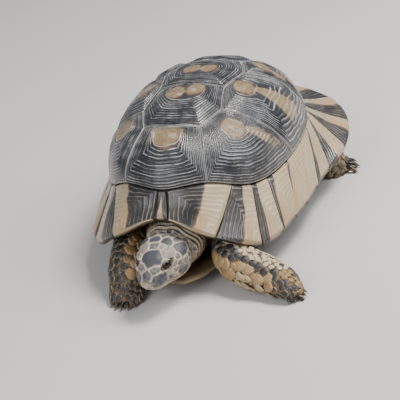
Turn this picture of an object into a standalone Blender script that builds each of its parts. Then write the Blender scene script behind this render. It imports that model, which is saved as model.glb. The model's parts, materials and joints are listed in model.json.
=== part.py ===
"""A marginated tortoise, life size, as a still model in a walking stance.

Metres, +Z up. The tortoise faces -Y, and its left side is +X. The shell is a dome over a wide hem:
thirteen dome scutes, a girdle of twenty-four marginal scutes, and twelve plastron scutes below.
"""

from math import atan2, ceil, cos, degrees, exp, hypot, pi, radians, sin

import bmesh
import bpy
from mathutils import Matrix, Vector

# Shell, in plan: ovals that are a little squarer than an ellipse. Front and rear are distances from y = 0.
SQUARENESS = 2.25
WAIST_Y = 0.003
SEAM_OVAL = (0.0995, 0.0925, 0.072)
RIM_OVAL = (0.125, 0.137, 0.0908)
HEM_OVAL = (0.103, 0.113, 0.0685)
WALL_OVAL = (0.088, 0.090, 0.0655)
SHELF_OVAL = (0.086, 0.086, 0.0645)

# Heights and spreads round the shell, by angle from the front in degrees.
SHELL_TOP = 0.115
SEAM_HEIGHTS = ((0, 0.0735), (25, 0.0735), (50, 0.0585), (80, 0.0560), (180, 0.054))
RIM_HEIGHTS = ((0, 0.058), (24, 0.044), (42, 0.0265), (65, 0.026), (95, 0.026), (135, 0.0385), (180, 0.040))
HEM_HEIGHTS = ((0, 0.058), (24, 0.047), (42, 0.0295), (65, 0.0222), (95, 0.0222), (135, 0.0385), (180, 0.040))
WALL_HEIGHTS = ((0, 0.048), (42, 0.027), (65, 0.0225), (95, 0.0225), (135, 0.033), (180, 0.036))
RIM_SPREADS = ((0, 1), (45, 1.01), (60, 0.95), (75, 0.925), (90, 0.925), (106, 1.05), (122, 1.12), (140, 1.12),
               (180, 1))
RIM_SWELLS = ((0, -0.0015), (40, -0.001), (75, 0.0015), (95, 0.001), (130, -0.003), (180, -0.0015))
NECK_NOTCH = 0.010
SEAM_PROW = 0.003
NECK_NOTCH_ANGLE = 14
RIM_LIP = 0.0035

# Scutes.
PLATE = 0.0028
CLEARANCE = 0.0011
SEAM_GAP = 0.0004
GROOVE = 0.0007
CROWN = 0.0012
SCUTE_EDGE = 0.994

# Edges steeper than this are creases.
SHARP_ANGLE = 40

# Where the radial seams of the marginals meet the dome (first) and the rim (second), in degrees.
MARGINAL_SEAMS = ((2.2, 3.4), (37, 24.5), (47, 42.5), (56.5, 54), (71.5, 64), (90, 73), (104.5, 84), (118, 95),
                  (131, 107), (143, 122), (155, 141), (168, 163))

# Dome scutes: half widths (sideways) and stations (front to rear) of their corners, on a flat disc of radius 1.
VERTEBRAL_STATIONS = (-0.453, -0.107, 0.25, 0.58)
VERTEBRAL_HALVES = (0.214, 0.237, 0.215, 0.15)
COSTAL_STATIONS = (-0.284, 0.087, 0.42)
COSTAL_HALVES = (0.292, 0.294, 0.27)
COSTAL_ANGLES = (25, 78, 116, 143, 159)

# Plastron: the lowest bone, its turned-up edges and its scute boundaries, front to rear.
PLASTRON_Z = 0.011
BRIDGE_RISE = 0.0075
TAIL_RISE = 0.006
LOBE_PLATE = 0.0036
LOBE_REAR = -0.060
PLASTRON_SCUTES = ("gular", "humeral", "pectoral", "abdominal", "femoral", "anal")
PLASTRON_EDGES = (-0.127, -0.103, -0.060, -0.040, 0.032, 0.062, 0.089)
PLASTRON_HALVES = ((-0.127, 0.0135), (-0.117, 0.0250), (-0.106, 0.0295), (-0.083, 0.036), (-0.060, 0.047),
                   (-0.042, 0.0605), (-0.02, 0.0650), (0.02, 0.0655), (0.036, 0.0630), (0.048, 0.047),
                   (0.070, 0.041), (0.089, 0.022))

# Touching pieces of flesh are parted by this much, and limbs are cut this much clear of the body.
GAP = 0.0003
ROOM = 0.0009

# Legs: the grid of their skin, and their claws as (count, length, radius, height of the roots).
LEG_COLUMNS = 12
LEG_ROWS = 10
FORE_CLAWS = (5, 0.0070, 0.0021, 0.0038)
HIND_CLAWS = (4, 0.0115, 0.0023, 0.0040)

# Head: the frame it is carried in, its length, and its half widths, crown and chin along it.
HEAD_BASE = Vector((0.0030, -0.1120, 0.0340))
HEAD_YAW = 7
HEAD_PITCH = 6
HEAD_ROLL = -5
HEAD_LENGTH = 0.0425
HEAD_HALVES = ((0, 0.0165), (0.15, 0.0182), (0.32, 0.0185), (0.55, 0.0155), (0.75, 0.0122), (0.9, 0.0090),
               (1, 0.0045))
HEAD_TOPS = ((0, 0.0128), (0.2, 0.0143), (0.5, 0.0143), (0.72, 0.0120), (0.88, 0.0080), (1, 0.0020))
HEAD_BOTTOMS = ((0, 0.0170), (0.2, 0.0170), (0.5, 0.0145), (0.8, 0.0115), (0.93, 0.0095), (1, 0.0065))
EYE_RADIUS = 0.0041
EYE_PLACE = (0.0280, 0.0103, 0.0072)
MOUTH_CORNER = 0.0215
MOUTH_HEIGHT = -0.0050


def clear_scene():
    for obj in list(bpy.data.objects):
        bpy.data.objects.remove(obj, do_unlink=True)


def make_material(name, colour, roughness):
    material = bpy.data.materials.new(name)
    material.use_nodes = True
    shader = material.node_tree.nodes["Principled BSDF"]
    shader.inputs["Base Color"].default_value = (*colour, 1)
    shader.inputs["Roughness"].default_value = roughness
    shader.inputs["Metallic"].default_value = 0
    return material


def smooth_value(x, table):
    """The value at x on a smooth curve through a table's (x, value) pairs."""
    x = min(max(x, table[0][0]), table[-1][0])
    i = max(k for k in range(len(table) - 1) if table[k][0] <= x)

    def slope(k):
        if k in (0, len(table) - 1):
            return 0
        return (table[k + 1][1] - table[k - 1][1]) / (table[k + 1][0] - table[k - 1][0])

    (x0, y0), (x1, y1) = table[i], table[i + 1]
    width = x1 - x0
    t = (x - x0) / width
    rise = y0 * (1 - t) ** 2 * (1 + 2 * t) + y1 * t ** 2 * (3 - 2 * t)
    return rise + width * t * (1 - t) * (slope(i) * (1 - t) - slope(i + 1) * t)


def step(x):
    """A smooth step from 0 at x = 0 to 1 at x = 1."""
    x = min(max(x, 0), 1)
    return x * x * (3 - 2 * x)


def oval(angle, sizes, grow=0):
    """A point on a squarish oval in plan: 0 degrees is the front, 90 the left side, 180 the rear."""
    front, rear, half = (size + grow for size in sizes)
    c, s = cos(radians(angle)), sin(radians(angle))
    k = (abs(c) ** SQUARENESS + abs(s) ** SQUARENESS) ** (-1 / SQUARENESS)
    reach = front + WAIST_Y if c > 0 else rear - WAIST_Y
    return Vector((half * k * s, WAIST_Y - reach * k * c, 0))


def at_height(point, height):
    return Vector((point.x, point.y, height))


def seam_point(angle):
    """The line where the dome meets the marginals."""
    point = at_height(oval(angle, SEAM_OVAL), smooth_value(abs(angle), SEAM_HEIGHTS))
    point.y -= SEAM_PROW * exp(-((angle / NECK_NOTCH_ANGLE) ** 2))
    return point


def rim_point(angle):
    """The free edge of the shell: raised and set back over the neck, flared behind."""
    point = at_height(oval(angle, RIM_OVAL), smooth_value(abs(angle), RIM_HEIGHTS))
    point.x *= smooth_value(abs(angle), RIM_SPREADS)
    point.y += NECK_NOTCH * exp(-((angle / NECK_NOTCH_ANGLE) ** 2))
    return point


def dome_point(p, q):
    """The dome over a flat disc: p runs to the left side, q to the rear, and the seam line is at radius 1."""
    radius = min((abs(p) ** SQUARENESS + abs(q) ** SQUARENESS) ** (1 / SQUARENESS), 1)
    if radius < 1e-6:
        return Vector((0, WAIST_Y, SHELL_TOP))
    edge = seam_point(degrees(atan2(p, -q)))
    out = sin(radius * pi / 2)
    up = cos(radius * pi / 2)
    return Vector((edge.x * out, WAIST_Y + (edge.y - WAIST_Y) * out, edge.z + (SHELL_TOP - edge.z) * up))


def dome_surface(p, q, lift):
    """A point that lies lift above the dome, along its normal."""
    nudge = 0.004
    shrink = min(1, (1 - nudge) / max((abs(p) ** SQUARENESS + abs(q) ** SQUARENESS) ** (1 / SQUARENESS), 1e-6))
    a, b = p * shrink, q * shrink
    along_p = dome_point(a + nudge / 2, b) - dome_point(a - nudge / 2, b)
    along_q = dome_point(a, b + nudge / 2) - dome_point(a, b - nudge / 2)
    normal = along_q.cross(along_p).normalized()
    normal *= 1 if normal.z > 0 or normal.dot(Vector((a, b, 0))) > 0 else -1
    return dome_point(p, q) + lift * normal


def plastron_surface(x, y, lift):
    """A point lift below the plastron's bone: its bridges and both of its ends turn up."""
    rise = BRIDGE_RISE * step((abs(x) - 0.044) / 0.026)
    rise += TAIL_RISE * step((y - 0.055) / 0.035)
    return Vector((x, y, PLASTRON_Z + rise - lift))


def new_object(name, bm, material):
    """Finish a closed bmesh as one object of the model."""
    bmesh.ops.recalc_face_normals(bm, faces=bm.faces)
    mesh = bpy.data.meshes.new(name)
    bm.to_mesh(mesh)
    bm.free()
    mesh.shade_smooth()
    mesh.set_sharp_from_angle(angle=radians(SHARP_ANGLE))
    mesh.materials.append(material)
    obj = bpy.data.objects.new(name, mesh)
    bpy.context.scene.collection.objects.link(obj)
    return obj


def wrapped_grid(columns, rows, place):
    """A grid wrapped into a tube: place(u, v) gives each vertex, with u round it and v along it, 0 to 1."""
    bm = bmesh.new()
    bmesh.ops.create_grid(bm, x_segments=columns, y_segments=rows, size=0.5)
    for vertex in bm.verts:
        u = round((vertex.co.x + 0.5) * columns) / columns
        v = round((vertex.co.y + 0.5) * rows) / rows
        vertex.co = place(u % 1, v)
    bmesh.ops.remove_doubles(bm, verts=bm.verts, dist=1e-6)
    bmesh.ops.holes_fill(bm, edges=[edge for edge in bm.edges if edge.is_boundary], sides=0)
    return bm


def through_rings(rings):
    """A closed bmesh through rings of points, with flat caps on the first and the last ring."""
    columns = len(rings[0])
    rows = len(rings) - 1
    return wrapped_grid(columns, rows, lambda u, v: rings[round(v * rows)][round(u * columns)])


def loft(name, rings, material):
    """A closed solid through rings of points."""
    return new_object(name, through_rings(rings), material)


def boolean(obj, operation, other):
    """Cut, join or cross an object with a helper, which is left out of the model."""
    modifier = obj.modifiers.new(operation.lower(), "BOOLEAN")
    modifier.operation = operation
    modifier.object = other
    other.hide_render = True
    other.display_type = "WIRE"


# Scutes ------------------------------------------------------------------------------------------------------

def scute(name, outline, centre, surface, material):
    """A plate with a sunken edge and a crown: rings run in from its outline to its first, oldest shield."""
    cx, cy = centre
    middle = surface(cx, cy, 0)

    def ring(inward, lift):
        points = []
        for x, y in outline:
            reach = (surface(x, y, 0) - middle).length
            k = max((1 - inward) - SEAM_GAP / 2 / reach, 0.05)
            points.append(surface(cx + (x - cx) * k, cy + (y - cy) * k, lift))
        return points

    inner, outer = (0.80, 0.54, 0.27, 0), (0, 0.12, 0.45, 0.74)
    rings = [ring(inward, -PLATE) for inward in inner]
    rings += [ring(inward, CROWN * step(inward) - GROOVE * (1 - step(inward / 0.12))) for inward in outer]
    return loft(name, rings, material)


def disc_point(angle):
    """The disc's edge at an angle, just inside the seam line."""
    c, s = cos(radians(angle)), sin(radians(angle))
    k = (abs(c) ** SQUARENESS + abs(s) ** SQUARENESS) ** (-1 / SQUARENESS)
    return (SCUTE_EDGE * k * s, -SCUTE_EDGE * k * c)


def disc_arc(start, end):
    """The disc's edge from one angle to another, without its last point."""
    count = max(2, ceil(abs(end - start) / 9))
    return [disc_point(start + (end - start) * k / count) for k in range(count)]


def disc_line(start, end):
    """Points from one corner to the next, without the last."""
    count = max(2, ceil(hypot(end[0] - start[0], end[1] - start[1]) / 0.14))
    return [(start[0] + (end[0] - start[0]) * k / count, start[1] + (end[1] - start[1]) * k / count)
            for k in range(count)]


def outline_through(corners):
    """A scute's outline on the disc: corners are points, or angles where the outline follows the seam line."""
    points = []
    for here, there in zip(corners, corners[1:] + corners[:1]):
        if isinstance(here, (int, float)) and isinstance(there, (int, float)):
            points += disc_arc(here, there)
        else:
            start = disc_point(here) if isinstance(here, (int, float)) else here
            end = disc_point(there) if isinstance(there, (int, float)) else there
            points += disc_line(start, end)
    return points


def vertebral_corners(side):
    """The corners between vertebrals, and those between costals, on one side of the midline."""
    shared = [(side * half, at) for half, at in zip(VERTEBRAL_HALVES, VERTEBRAL_STATIONS)]
    waist = [(side * half, at) for half, at in zip(COSTAL_HALVES, COSTAL_STATIONS)]
    return shared, waist


def shield_centre(points, back, out=0):
    """Where a scute began to grow: its middle, moved towards the rear and away from the midline."""
    x = sum(point[0] for point in points) / len(points)
    y = sum(point[1] for point in points) / len(points)
    return (x + out, y + back)


def make_vertebrals(material):
    (left, left_waist), (right, right_waist) = vertebral_corners(1), vertebral_corners(-1)
    first, last = COSTAL_ANGLES[0], COSTAL_ANGLES[-1]
    outlines = [outline_through([-first, first, left[0], right[0]])]
    for k in range(3):
        corners = [right[k], left[k], left_waist[k], left[k + 1], right[k + 1], right_waist[k]]
        outlines.append(outline_through(corners))
    outlines.append(outline_through([right[3], left[3], last, 360 - last]))
    backs = (0.10, 0.07, 0.05, 0.03, -0.08)
    for number, (outline, back) in enumerate(zip(outlines, backs), 1):
        scute(f"vertebral_{number}", outline, shield_centre(outline, back), dome_surface, material)


def make_costals(side, word, material):
    shared, waist = vertebral_corners(side)
    angles = [side * angle for angle in COSTAL_ANGLES]
    corners = [
        [angles[0], angles[1], waist[0], shared[0]],
        [angles[1], angles[2], waist[1], shared[1], waist[0]],
        [angles[2], angles[3], waist[2], shared[2], waist[1]],
        [angles[3], angles[4], shared[3], waist[2]],
    ]
    places = ((0.09, -0.05), (0.03, -0.09), (0.02, -0.07), (-0.03, -0.04))
    for number, (points, (back, out)) in enumerate(zip(corners, places), 1):
        outline = outline_through(points)
        centre = shield_centre(outline, back, side * out)
        scute(f"costal_{word}_{number}", outline, centre, dome_surface, material)


# Marginals -------------------------------------------------------------------------------------------------------

def girdle_angles(station):
    """The angles on the dome and on the rim at a station: 0 the front, 1 to 12 the seams, 13 the rear."""
    knots = ((0, 0),) + MARGINAL_SEAMS + ((180, 180),)
    i = min(int(station), len(knots) - 2)
    t = station - i
    return tuple(a + (b - a) * t for a, b in zip(knots[i], knots[i + 1]))


def girdle_section(station):
    """A section across the marginals, from the dome over the rim and back under it, at a signed station."""
    side = 1 if 0 <= station <= 13 else -1
    along = abs(station) if station <= 13 else 26 - station
    seam_angle, rim_angle = girdle_angles(along)
    seam, rim = seam_point(seam_angle), rim_point(rim_angle)
    hem = at_height(oval(rim_angle, HEM_OVAL), smooth_value(rim_angle, HEM_HEIGHTS))
    outward = at_height(rim - seam, 0).normalized()
    slope = rim - seam
    normal = Vector((outward.x * -slope.z, outward.y * -slope.z, at_height(slope, 0).length)).normalized()
    swell = smooth_value(rim_angle, RIM_SWELLS) * normal
    inward = at_height(seam - Vector((0, WAIST_Y, 0)), 0).normalized()
    low = rim - 0.6 * RIM_LIP * outward - Vector((0, 0, RIM_LIP))
    points = [seam, seam.lerp(rim, 0.35) + swell, seam.lerp(rim, 0.72) + 0.8 * swell, rim, low, hem,
              seam - PLATE * inward]
    return [Vector((side * p.x, p.y, p.z)) for p in points]


def marginal(name, start, end, material):
    """One marginal scute with the wedge of bone under it, between two stations."""
    sections = [girdle_section(start + (end - start) * k / 2) for k in range(3)]
    for section in (sections[0], sections[2]):
        for k, point in enumerate(section):
            section[k] = point + (sections[1][k] - point).normalized() * GAP
    bm = bmesh.new()
    loops = [[bm.verts.new(point) for point in section] for section in sections]
    edges = []
    for loop in loops:
        edges.append([bm.edges.new(pair) for pair in zip(loop, loop[1:] + loop[:1])])
    bmesh.ops.bridge_loops(bm, edges=edges[0] + edges[1])
    bmesh.ops.bridge_loops(bm, edges=edges[1] + edges[2])
    bmesh.ops.poke(bm, faces=[bm.faces.new(loops[0]), bm.faces.new(loops[2])])
    return new_object(name, bm, material)


def girdle_room(material):
    """The space of all the marginals and a gap round them, as a cutter for the limbs."""
    columns, rows = 52, 7

    def place(u, v):
        section = girdle_section(u * 26 if u < 0.5 else u * 26 - 26)
        section[5:] = [inset(point, 0.004) for point in section[5:]]
        middle = sum(section, Vector()) / len(section)
        point = section[round(v * rows) % rows]
        return point + (point - middle).normalized() * 2 * GAP

    return new_object("girdle_room", wrapped_grid(columns, rows, place), material)


def make_marginals(material):
    marginal("nuchal", -1, 1, material)
    marginal("supracaudal", 12, 14, material)
    for number in range(1, 12):
        marginal(f"marginal_left_{number}", number, number + 1, material)
        marginal(f"marginal_right_{number}", -number, -number - 1, material)


# Plastron --------------------------------------------------------------------------------------------------------

def make_plastron(side, word, material):
    """Six scutes on one side of the plastron, each between two lines across it."""
    middle_gap = 0.0002
    shares = (0.85, 0.68, 0.35)
    for name, front, rear in zip(PLASTRON_SCUTES, PLASTRON_EDGES, PLASTRON_EDGES[1:]):
        outline = [(side * smooth_half(y), y) for y in (front, (front + rear) / 2, rear)]
        outline += [(side * share * smooth_half(rear), rear) for share in shares]
        outline += [(side * middle_gap, rear), (side * middle_gap, front)]
        outline += [(side * share * smooth_half(front), front) for share in reversed(shares)]
        centre = (side * 0.5 * smooth_half((front + rear) / 2), (front + rear) / 2)
        plate(f"{name}_{word}", outline, centre, PLATE if front >= LOBE_REAR else LOBE_PLATE, material)


def lobe_room(material):
    """The front lobe of the plastron and all that is below it, as a cutter for the neck and the forelegs."""
    front, rear, count = PLASTRON_EDGES[0] - 2 * GAP, LOBE_REAR, 8
    stations = [front + (rear - front) * k / count for k in range(count + 1)]
    side = [(smooth_half(y) + 2 * GAP, y) for y in stations]
    outline = side + [(-x, y) for x, y in reversed(side)]
    top = PLASTRON_Z + LOBE_PLATE + 2 * GAP
    return loft("lobe_room", [[Vector((x, y, z)) for x, y in outline] for z in (-top, top)], material)


def smooth_half(y):
    """Half the plastron's width at a place along it, by straight runs between its corners."""
    y = max(y, PLASTRON_HALVES[0][0])
    for (y0, half0), (y1, half1) in zip(PLASTRON_HALVES, PLASTRON_HALVES[1:]):
        if y <= y1:
            return half0 + (half1 - half0) * (y - y0) / (y1 - y0)
    return PLASTRON_HALVES[-1][1]


def plate(name, outline, centre, thickness, material):
    """A plastron scute on its bone: a sunken edge round a field that is barely raised."""
    cx, cy = centre
    middle = plastron_surface(cx, cy, 0)

    def ring(inward, lift):
        points = []
        for x, y in outline:
            reach = (plastron_surface(x, y, 0) - middle).length
            k = (1 - inward) - SEAM_GAP / 2 / reach
            points.append(plastron_surface(cx + (x - cx) * k, cy + (y - cy) * k, lift))
        return points

    rings = [ring(0.5, -thickness), ring(0, -thickness), ring(0, -GROOVE), ring(0.10, 0), ring(0.55, 0)]
    return loft(name, rings, material)


# Flesh -----------------------------------------------------------------------------------------------------------

def trunk_rings(grow=0):
    """Rings of the body inside the shell: under the dome, behind the marginals, down the walls to the plastron."""
    stations = [k / 2 for k in range(-26, 26)]
    rings = []
    under = PLATE + CLEARANCE - grow
    for radius in (0.15, 0.4, 0.62, 0.82, 0.95):
        ring = []
        for station in stations:
            x, y = disc_point(copy_side(girdle_angles(abs(station))[0], station))
            ring.append(dome_surface(x * radius / SCUTE_EDGE, y * radius / SCUTE_EDGE, -under))
        rings.append(ring)
    rings.append([inset(girdle_section(station)[0], under + 2 * CLEARANCE) for station in stations])
    down = Vector((0, 0, -grow))
    rings.append([inset(girdle_section(station)[5], 4 * CLEARANCE - grow) + down for station in stations])
    for sizes, heights in ((WALL_OVAL, WALL_HEIGHTS), (SHELF_OVAL, None)):
        ring = []
        for station in stations:
            angle = copy_side(girdle_angles(abs(station))[1], station)
            point = oval(angle, sizes, grow)
            top = plastron_surface(point.x, point.y, -PLATE - CLEARANCE + grow).z
            ring.append(at_height(point, smooth_value(abs(angle), heights) - grow if heights else top))
        rings.append(ring)
    rings.append([plastron_surface(p.x * 0.6, p.y * 0.6, -PLATE - CLEARANCE + grow) for p in rings[-1]])
    return rings


def copy_side(angle, station):
    """An angle, with the sign of its station."""
    return angle if station >= 0 else -angle


def inset(point, distance):
    """The point moved towards the shell's long axis."""
    outward = Vector((point.x, (point.y - WAIST_Y) * 0.55, 0)).normalized()
    return point - distance * outward


def sweep(stations, columns, rows):
    """Rings along a smooth path. A station is (centre, broad direction, half breadth, half depth)."""
    def value(index, t):
        table = [(k, station[index]) for k, station in enumerate(stations)]
        if isinstance(stations[0][index], (int, float)):
            return smooth_value(t, table)
        return Vector([smooth_value(t, [(k, vector[axis]) for k, vector in table]) for axis in range(3)])

    last = len(stations) - 1
    rings = []
    for row in range(rows + 1):
        t = last * row / rows
        centre = value(0, t)
        ahead = (value(0, min(t + 0.2, last)) - value(0, max(t - 0.2, 0))).normalized()
        broad = value(1, t)
        broad = (broad - broad.dot(ahead) * ahead).normalized()
        deep = ahead.cross(broad)
        breadth, depth = value(2, t), value(3, t)
        turns = [2 * pi * k / columns for k in range(columns)]
        rings.append([centre + breadth * cos(turn) * broad + depth * sin(turn) * deep for turn in turns])
    return rings


def claw(bm, root, tip, radius):
    """A claw as a blunt cone that starts inside the toe."""
    length = (tip - root).length
    ahead = (tip - root).normalized()
    base = ahead.to_track_quat("Z", "Y").to_matrix().to_4x4()
    bmesh.ops.create_cone(bm, cap_ends=True, segments=6, radius1=radius, radius2=0.12 * radius, depth=length,
                          matrix=Matrix.Translation((root + tip) / 2) @ base)


def cut_level(bm):
    """Cut a foot flat at floor level, and close its sole."""
    geometry = bm.verts[:] + bm.edges[:] + bm.faces[:]
    bmesh.ops.bisect_plane(bm, geom=geometry, plane_co=(0, 0, 0), plane_no=(0, 0, 1), clear_inner=True)
    bmesh.ops.holes_fill(bm, edges=[edge for edge in bm.edges if edge.is_boundary], sides=0)


def make_leg(name, stations, claws, rooms, material):
    """A leg with a flat sole and its claws, cut back to the wall of the body and clear of the shell."""
    bm = through_rings(sweep(stations, LEG_COLUMNS, LEG_ROWS))
    bmesh.ops.recalc_face_normals(bm, faces=bm.faces)
    cut_level(bm)
    leg = new_object(name, bm, material)
    horn = bmesh.new()
    for root, tip, radius in claws:
        claw(horn, root, tip, radius)
    boolean(leg, "UNION", new_object(f"{name}_claws", horn, material))
    for room in rooms:
        boolean(leg, "DIFFERENCE", room)


def fan(centre, heading, spread, reach, claws):
    """Claws fanned round the end of a foot: heading and spread in degrees from +X towards +Y."""
    count, length, radius, height = claws
    fanned = []
    for k in range(count):
        angle = radians(heading + spread * (k / (count - 1) - 0.5))
        out = Vector((cos(angle), sin(angle), 0))
        root = at_height(Vector(centre) + out * reach, height)
        tip = at_height(Vector(centre) + out * (reach + length), radius * 0.35)
        fanned.append((root, tip, radius))
    return fanned


def head_frame():
    """The head's axes as a matrix: forward, left and up, turned by its yaw, pitch and roll."""
    yaw, pitch, roll = radians(HEAD_YAW), radians(HEAD_PITCH), radians(HEAD_ROLL)
    forward = Vector((-sin(yaw) * cos(pitch), -cos(yaw) * cos(pitch), -sin(pitch)))
    left = Vector((cos(yaw), -sin(yaw), 0))
    up = left.cross(-forward)
    turned_left = cos(roll) * left + sin(roll) * up
    turned_up = -sin(roll) * left + cos(roll) * up
    columns = Matrix((forward, turned_left, turned_up)).transposed().to_4x4()
    return Matrix.Translation(HEAD_BASE) @ columns


def head_rings(columns=20, rows=10):
    """Rings along the head: flat on top, wide at the cheeks, narrowing to the beak."""
    rings = []
    for row in range(rows + 1):
        t = row / rows
        half = smooth_value(t, HEAD_HALVES)
        top, bottom = smooth_value(t, HEAD_TOPS), smooth_value(t, HEAD_BOTTOMS)
        ring = []
        for column in range(columns):
            turn = 2 * pi * column / columns
            c, s = cos(turn), sin(turn)
            k = (abs(c) ** 2.5 + abs(s) ** 2.5) ** (-1 / 2.5)
            ring.append(Vector((HEAD_LENGTH * t, half * k * c, (top if s > 0 else bottom) * k * s)))
        rings.append(ring)
    return rings


def head_box(name, near, far, low, high, material):
    """A block in the head's frame that parts the lower jaw from the skull."""
    bm = bmesh.new()
    bmesh.ops.create_cube(bm, size=1)
    size = Vector((far - near, 0.06, high - low))
    middle = Vector(((near + far) / 2, 0, (low + high) / 2))
    place = head_frame() @ Matrix.Translation(middle) @ Matrix.Diagonal((*size, 1))
    bmesh.ops.transform(bm, matrix=place, verts=bm.verts)
    return new_object(name, bm, material)


def make_head(skin, eye_material):
    frame = head_frame()
    rings = [[frame @ point for point in ring] for ring in head_rings()]
    head = loft("head", rings, skin)
    jaw = loft("jaw", rings, skin)
    far, low = HEAD_LENGTH * 1.5, -0.05
    cut = head_box("jaw_room", MOUTH_CORNER, far, low, MOUTH_HEIGHT, skin)
    keep = head_box("jaw_block", MOUTH_CORNER + GAP, far, low, MOUTH_HEIGHT - GAP, skin)
    boolean(head, "DIFFERENCE", cut)
    boolean(jaw, "INTERSECT", keep)
    forward, out, up = EYE_PLACE
    for side, word in ((1, "left"), (-1, "right")):
        place = frame @ Vector((forward, side * out, up))
        boolean(head, "DIFFERENCE", ball(f"socket_{word}", place, EYE_RADIUS + GAP, skin))
        ball(f"eye_{word}", place, EYE_RADIUS, eye_material)


def ball(name, place, radius, material):
    bm = bmesh.new()
    bmesh.ops.create_icosphere(bm, subdivisions=2, radius=radius, matrix=Matrix.Translation(place))
    return new_object(name, bm, material)


def make_neck(body, lobe, material):
    """The neck, from inside the body to the back of the head."""
    frame = head_frame()
    back = frame @ Vector((-GAP, 0.0010, -0.0022))
    rear = Vector((0.0, -0.072, 0.0335))
    across = (frame.to_3x3() @ Vector((0, 1, 0))).normalized()
    side = Vector((1, 0, 0))
    stations = [
        (rear, side, 0.0200, 0.0140),
        (Vector((0.001, -0.088, 0.0350)), side, 0.0225, 0.0150),
        (Vector((0.003, -0.101, 0.0335)), across, 0.0220, 0.0168),
        (back, across, 0.0190, 0.0158),
    ]
    rings = sweep(stations, columns=20, rows=6)
    normal = (frame.to_3x3() @ Vector((1, 0, 0))).normalized()
    rings[:-1] = [[point - max((point - back).dot(normal), 0) * normal for point in ring] for ring in rings[:-1]]
    rings[-1] = [point - (point - back).dot(normal) * normal for point in rings[-1]]
    neck = loft("neck", rings, material)
    boolean(neck, "DIFFERENCE", body)
    boolean(neck, "DIFFERENCE", lobe)


def make_tail(body, material):
    side = Vector((1, 0, 0))
    stations = [
        (Vector((0, 0.072, 0.0300)), side, 0.0115, 0.0075),
        (Vector((0, 0.090, 0.0290)), side, 0.0110, 0.0075),
        (Vector((-0.003, 0.105, 0.0245)), side, 0.0080, 0.0065),
        (Vector((-0.009, 0.116, 0.0180)), side, 0.0048, 0.0042),
        (Vector((-0.016, 0.1235, 0.0120)), side, 0.0020, 0.0020),
    ]
    tail = loft("tail", sweep(stations, columns=10, rows=8), material)
    boolean(tail, "DIFFERENCE", body)


def make_legs(rooms, lobe, material):
    """Each leg is a sweep of stations from its root in the body to its toes on the floor."""
    side = Vector((1, 0, 0))
    lean = Vector((0, -0.86, -0.5))
    splay = Vector((0.4, -0.9, 0))
    left_fore = [
        (Vector((0.0440, -0.0520, 0.0290)), -side, 0.0150, 0.0110),
        (Vector((0.0400, -0.0820, 0.0265)), -side, 0.0140, 0.0110),
        (Vector((0.0415, -0.1005, 0.0225)), Vector((-0.65, -0.65, -0.35)), 0.0138, 0.0110),
        (Vector((0.0520, -0.1095, 0.0180)), Vector((-0.2, -0.85, -0.5)), 0.0142, 0.0100),
        (Vector((0.0650, -0.1125, 0.0150)), lean, 0.0140, 0.0085),
        (Vector((0.0780, -0.1165, 0.0118)), lean, 0.0125, 0.0075),
        (Vector((0.0890, -0.1215, 0.0070)), Vector((0.4, -0.9, -0.2)), 0.0110, 0.0075),
        (Vector((0.0955, -0.1250, 0.0035)), splay, 0.0070, 0.0045),
    ]
    right_fore = [
        (Vector((-0.0430, -0.0520, 0.0290)), side, 0.0150, 0.0110),
        (Vector((-0.0385, -0.0830, 0.0275)), side, 0.0130, 0.0110),
        (Vector((-0.0355, -0.1040, 0.0255)), side, 0.0118, 0.0115),
        (Vector((-0.0340, -0.1205, 0.0175)), side, 0.0122, 0.0095),
        (Vector((-0.0310, -0.1285, 0.0090)), side, 0.0130, 0.0085),
        (Vector((-0.0300, -0.1370, 0.0025)), side, 0.0125, 0.0075),
        (Vector((-0.0300, -0.1430, 0.0015)), side, 0.0085, 0.0045),
    ]
    left_claws = fan((0.0885, -0.1215, 0), -30, 100, 0.0050, FORE_CLAWS)
    right_claws = fan((-0.0300, -0.1350, 0), -90, 100, 0.0060, FORE_CLAWS)
    make_leg("foreleg_left", left_fore, left_claws, (*rooms, lobe), material)
    make_leg("foreleg_right", right_fore, right_claws, (*rooms, lobe), material)
    for word, mirror, stride in (("left", 1, 0), ("right", -1, 0.010)):
        make_hindleg(word, mirror, stride, rooms, material)


def make_hindleg(word, mirror, stride, rooms, material):
    """A hind leg like a short column, set back by its stride from the knee down."""
    inner, outer = Vector((mirror, 0, 0)), Vector((0, -1, 0))

    def spot(x, y, z, share=1):
        return Vector((mirror * x, y + share * stride, z))

    stations = [
        (spot(0.040, 0.053, 0.0270, 0), inner, 0.0140, 0.0090),
        (spot(0.056, 0.060, 0.0235, 0.2), (inner + outer).normalized(), 0.0145, 0.0098),
        (spot(0.067, 0.061, 0.0165, 0.5), outer, 0.0150, 0.0110),
        (spot(0.0745, 0.059, 0.0100, 0.8), outer, 0.0140, 0.0110),
        (spot(0.0770, 0.058, 0.0030), outer, 0.0135, 0.0110),
        (spot(0.0775, 0.058, -0.0030), outer, 0.0125, 0.0100),
    ]
    heading = 90 - mirror * 62
    claws = fan(spot(0.0770, 0.058, 0), heading, 80 * mirror, 0.0095, HIND_CLAWS)
    make_leg(f"hindleg_{word}", stations, claws, rooms, material)


def stand_on_origin():
    """Move everything so that the middle of the model's bounding box stands over the origin, on the floor."""
    graph = bpy.context.evaluated_depsgraph_get()
    shown = [obj.evaluated_get(graph) for obj in bpy.data.objects if not obj.hide_render]
    corners = [Vector(corner) for obj in shown for corner in obj.bound_box]
    low, high = (Vector([pick(corner[axis] for corner in corners) for axis in range(3)]) for pick in (min, max))
    shift = Vector(((low.x + high.x) / -2, (low.y + high.y) / -2, -low.z))
    for obj in bpy.data.objects:
        obj.location = shift


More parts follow.
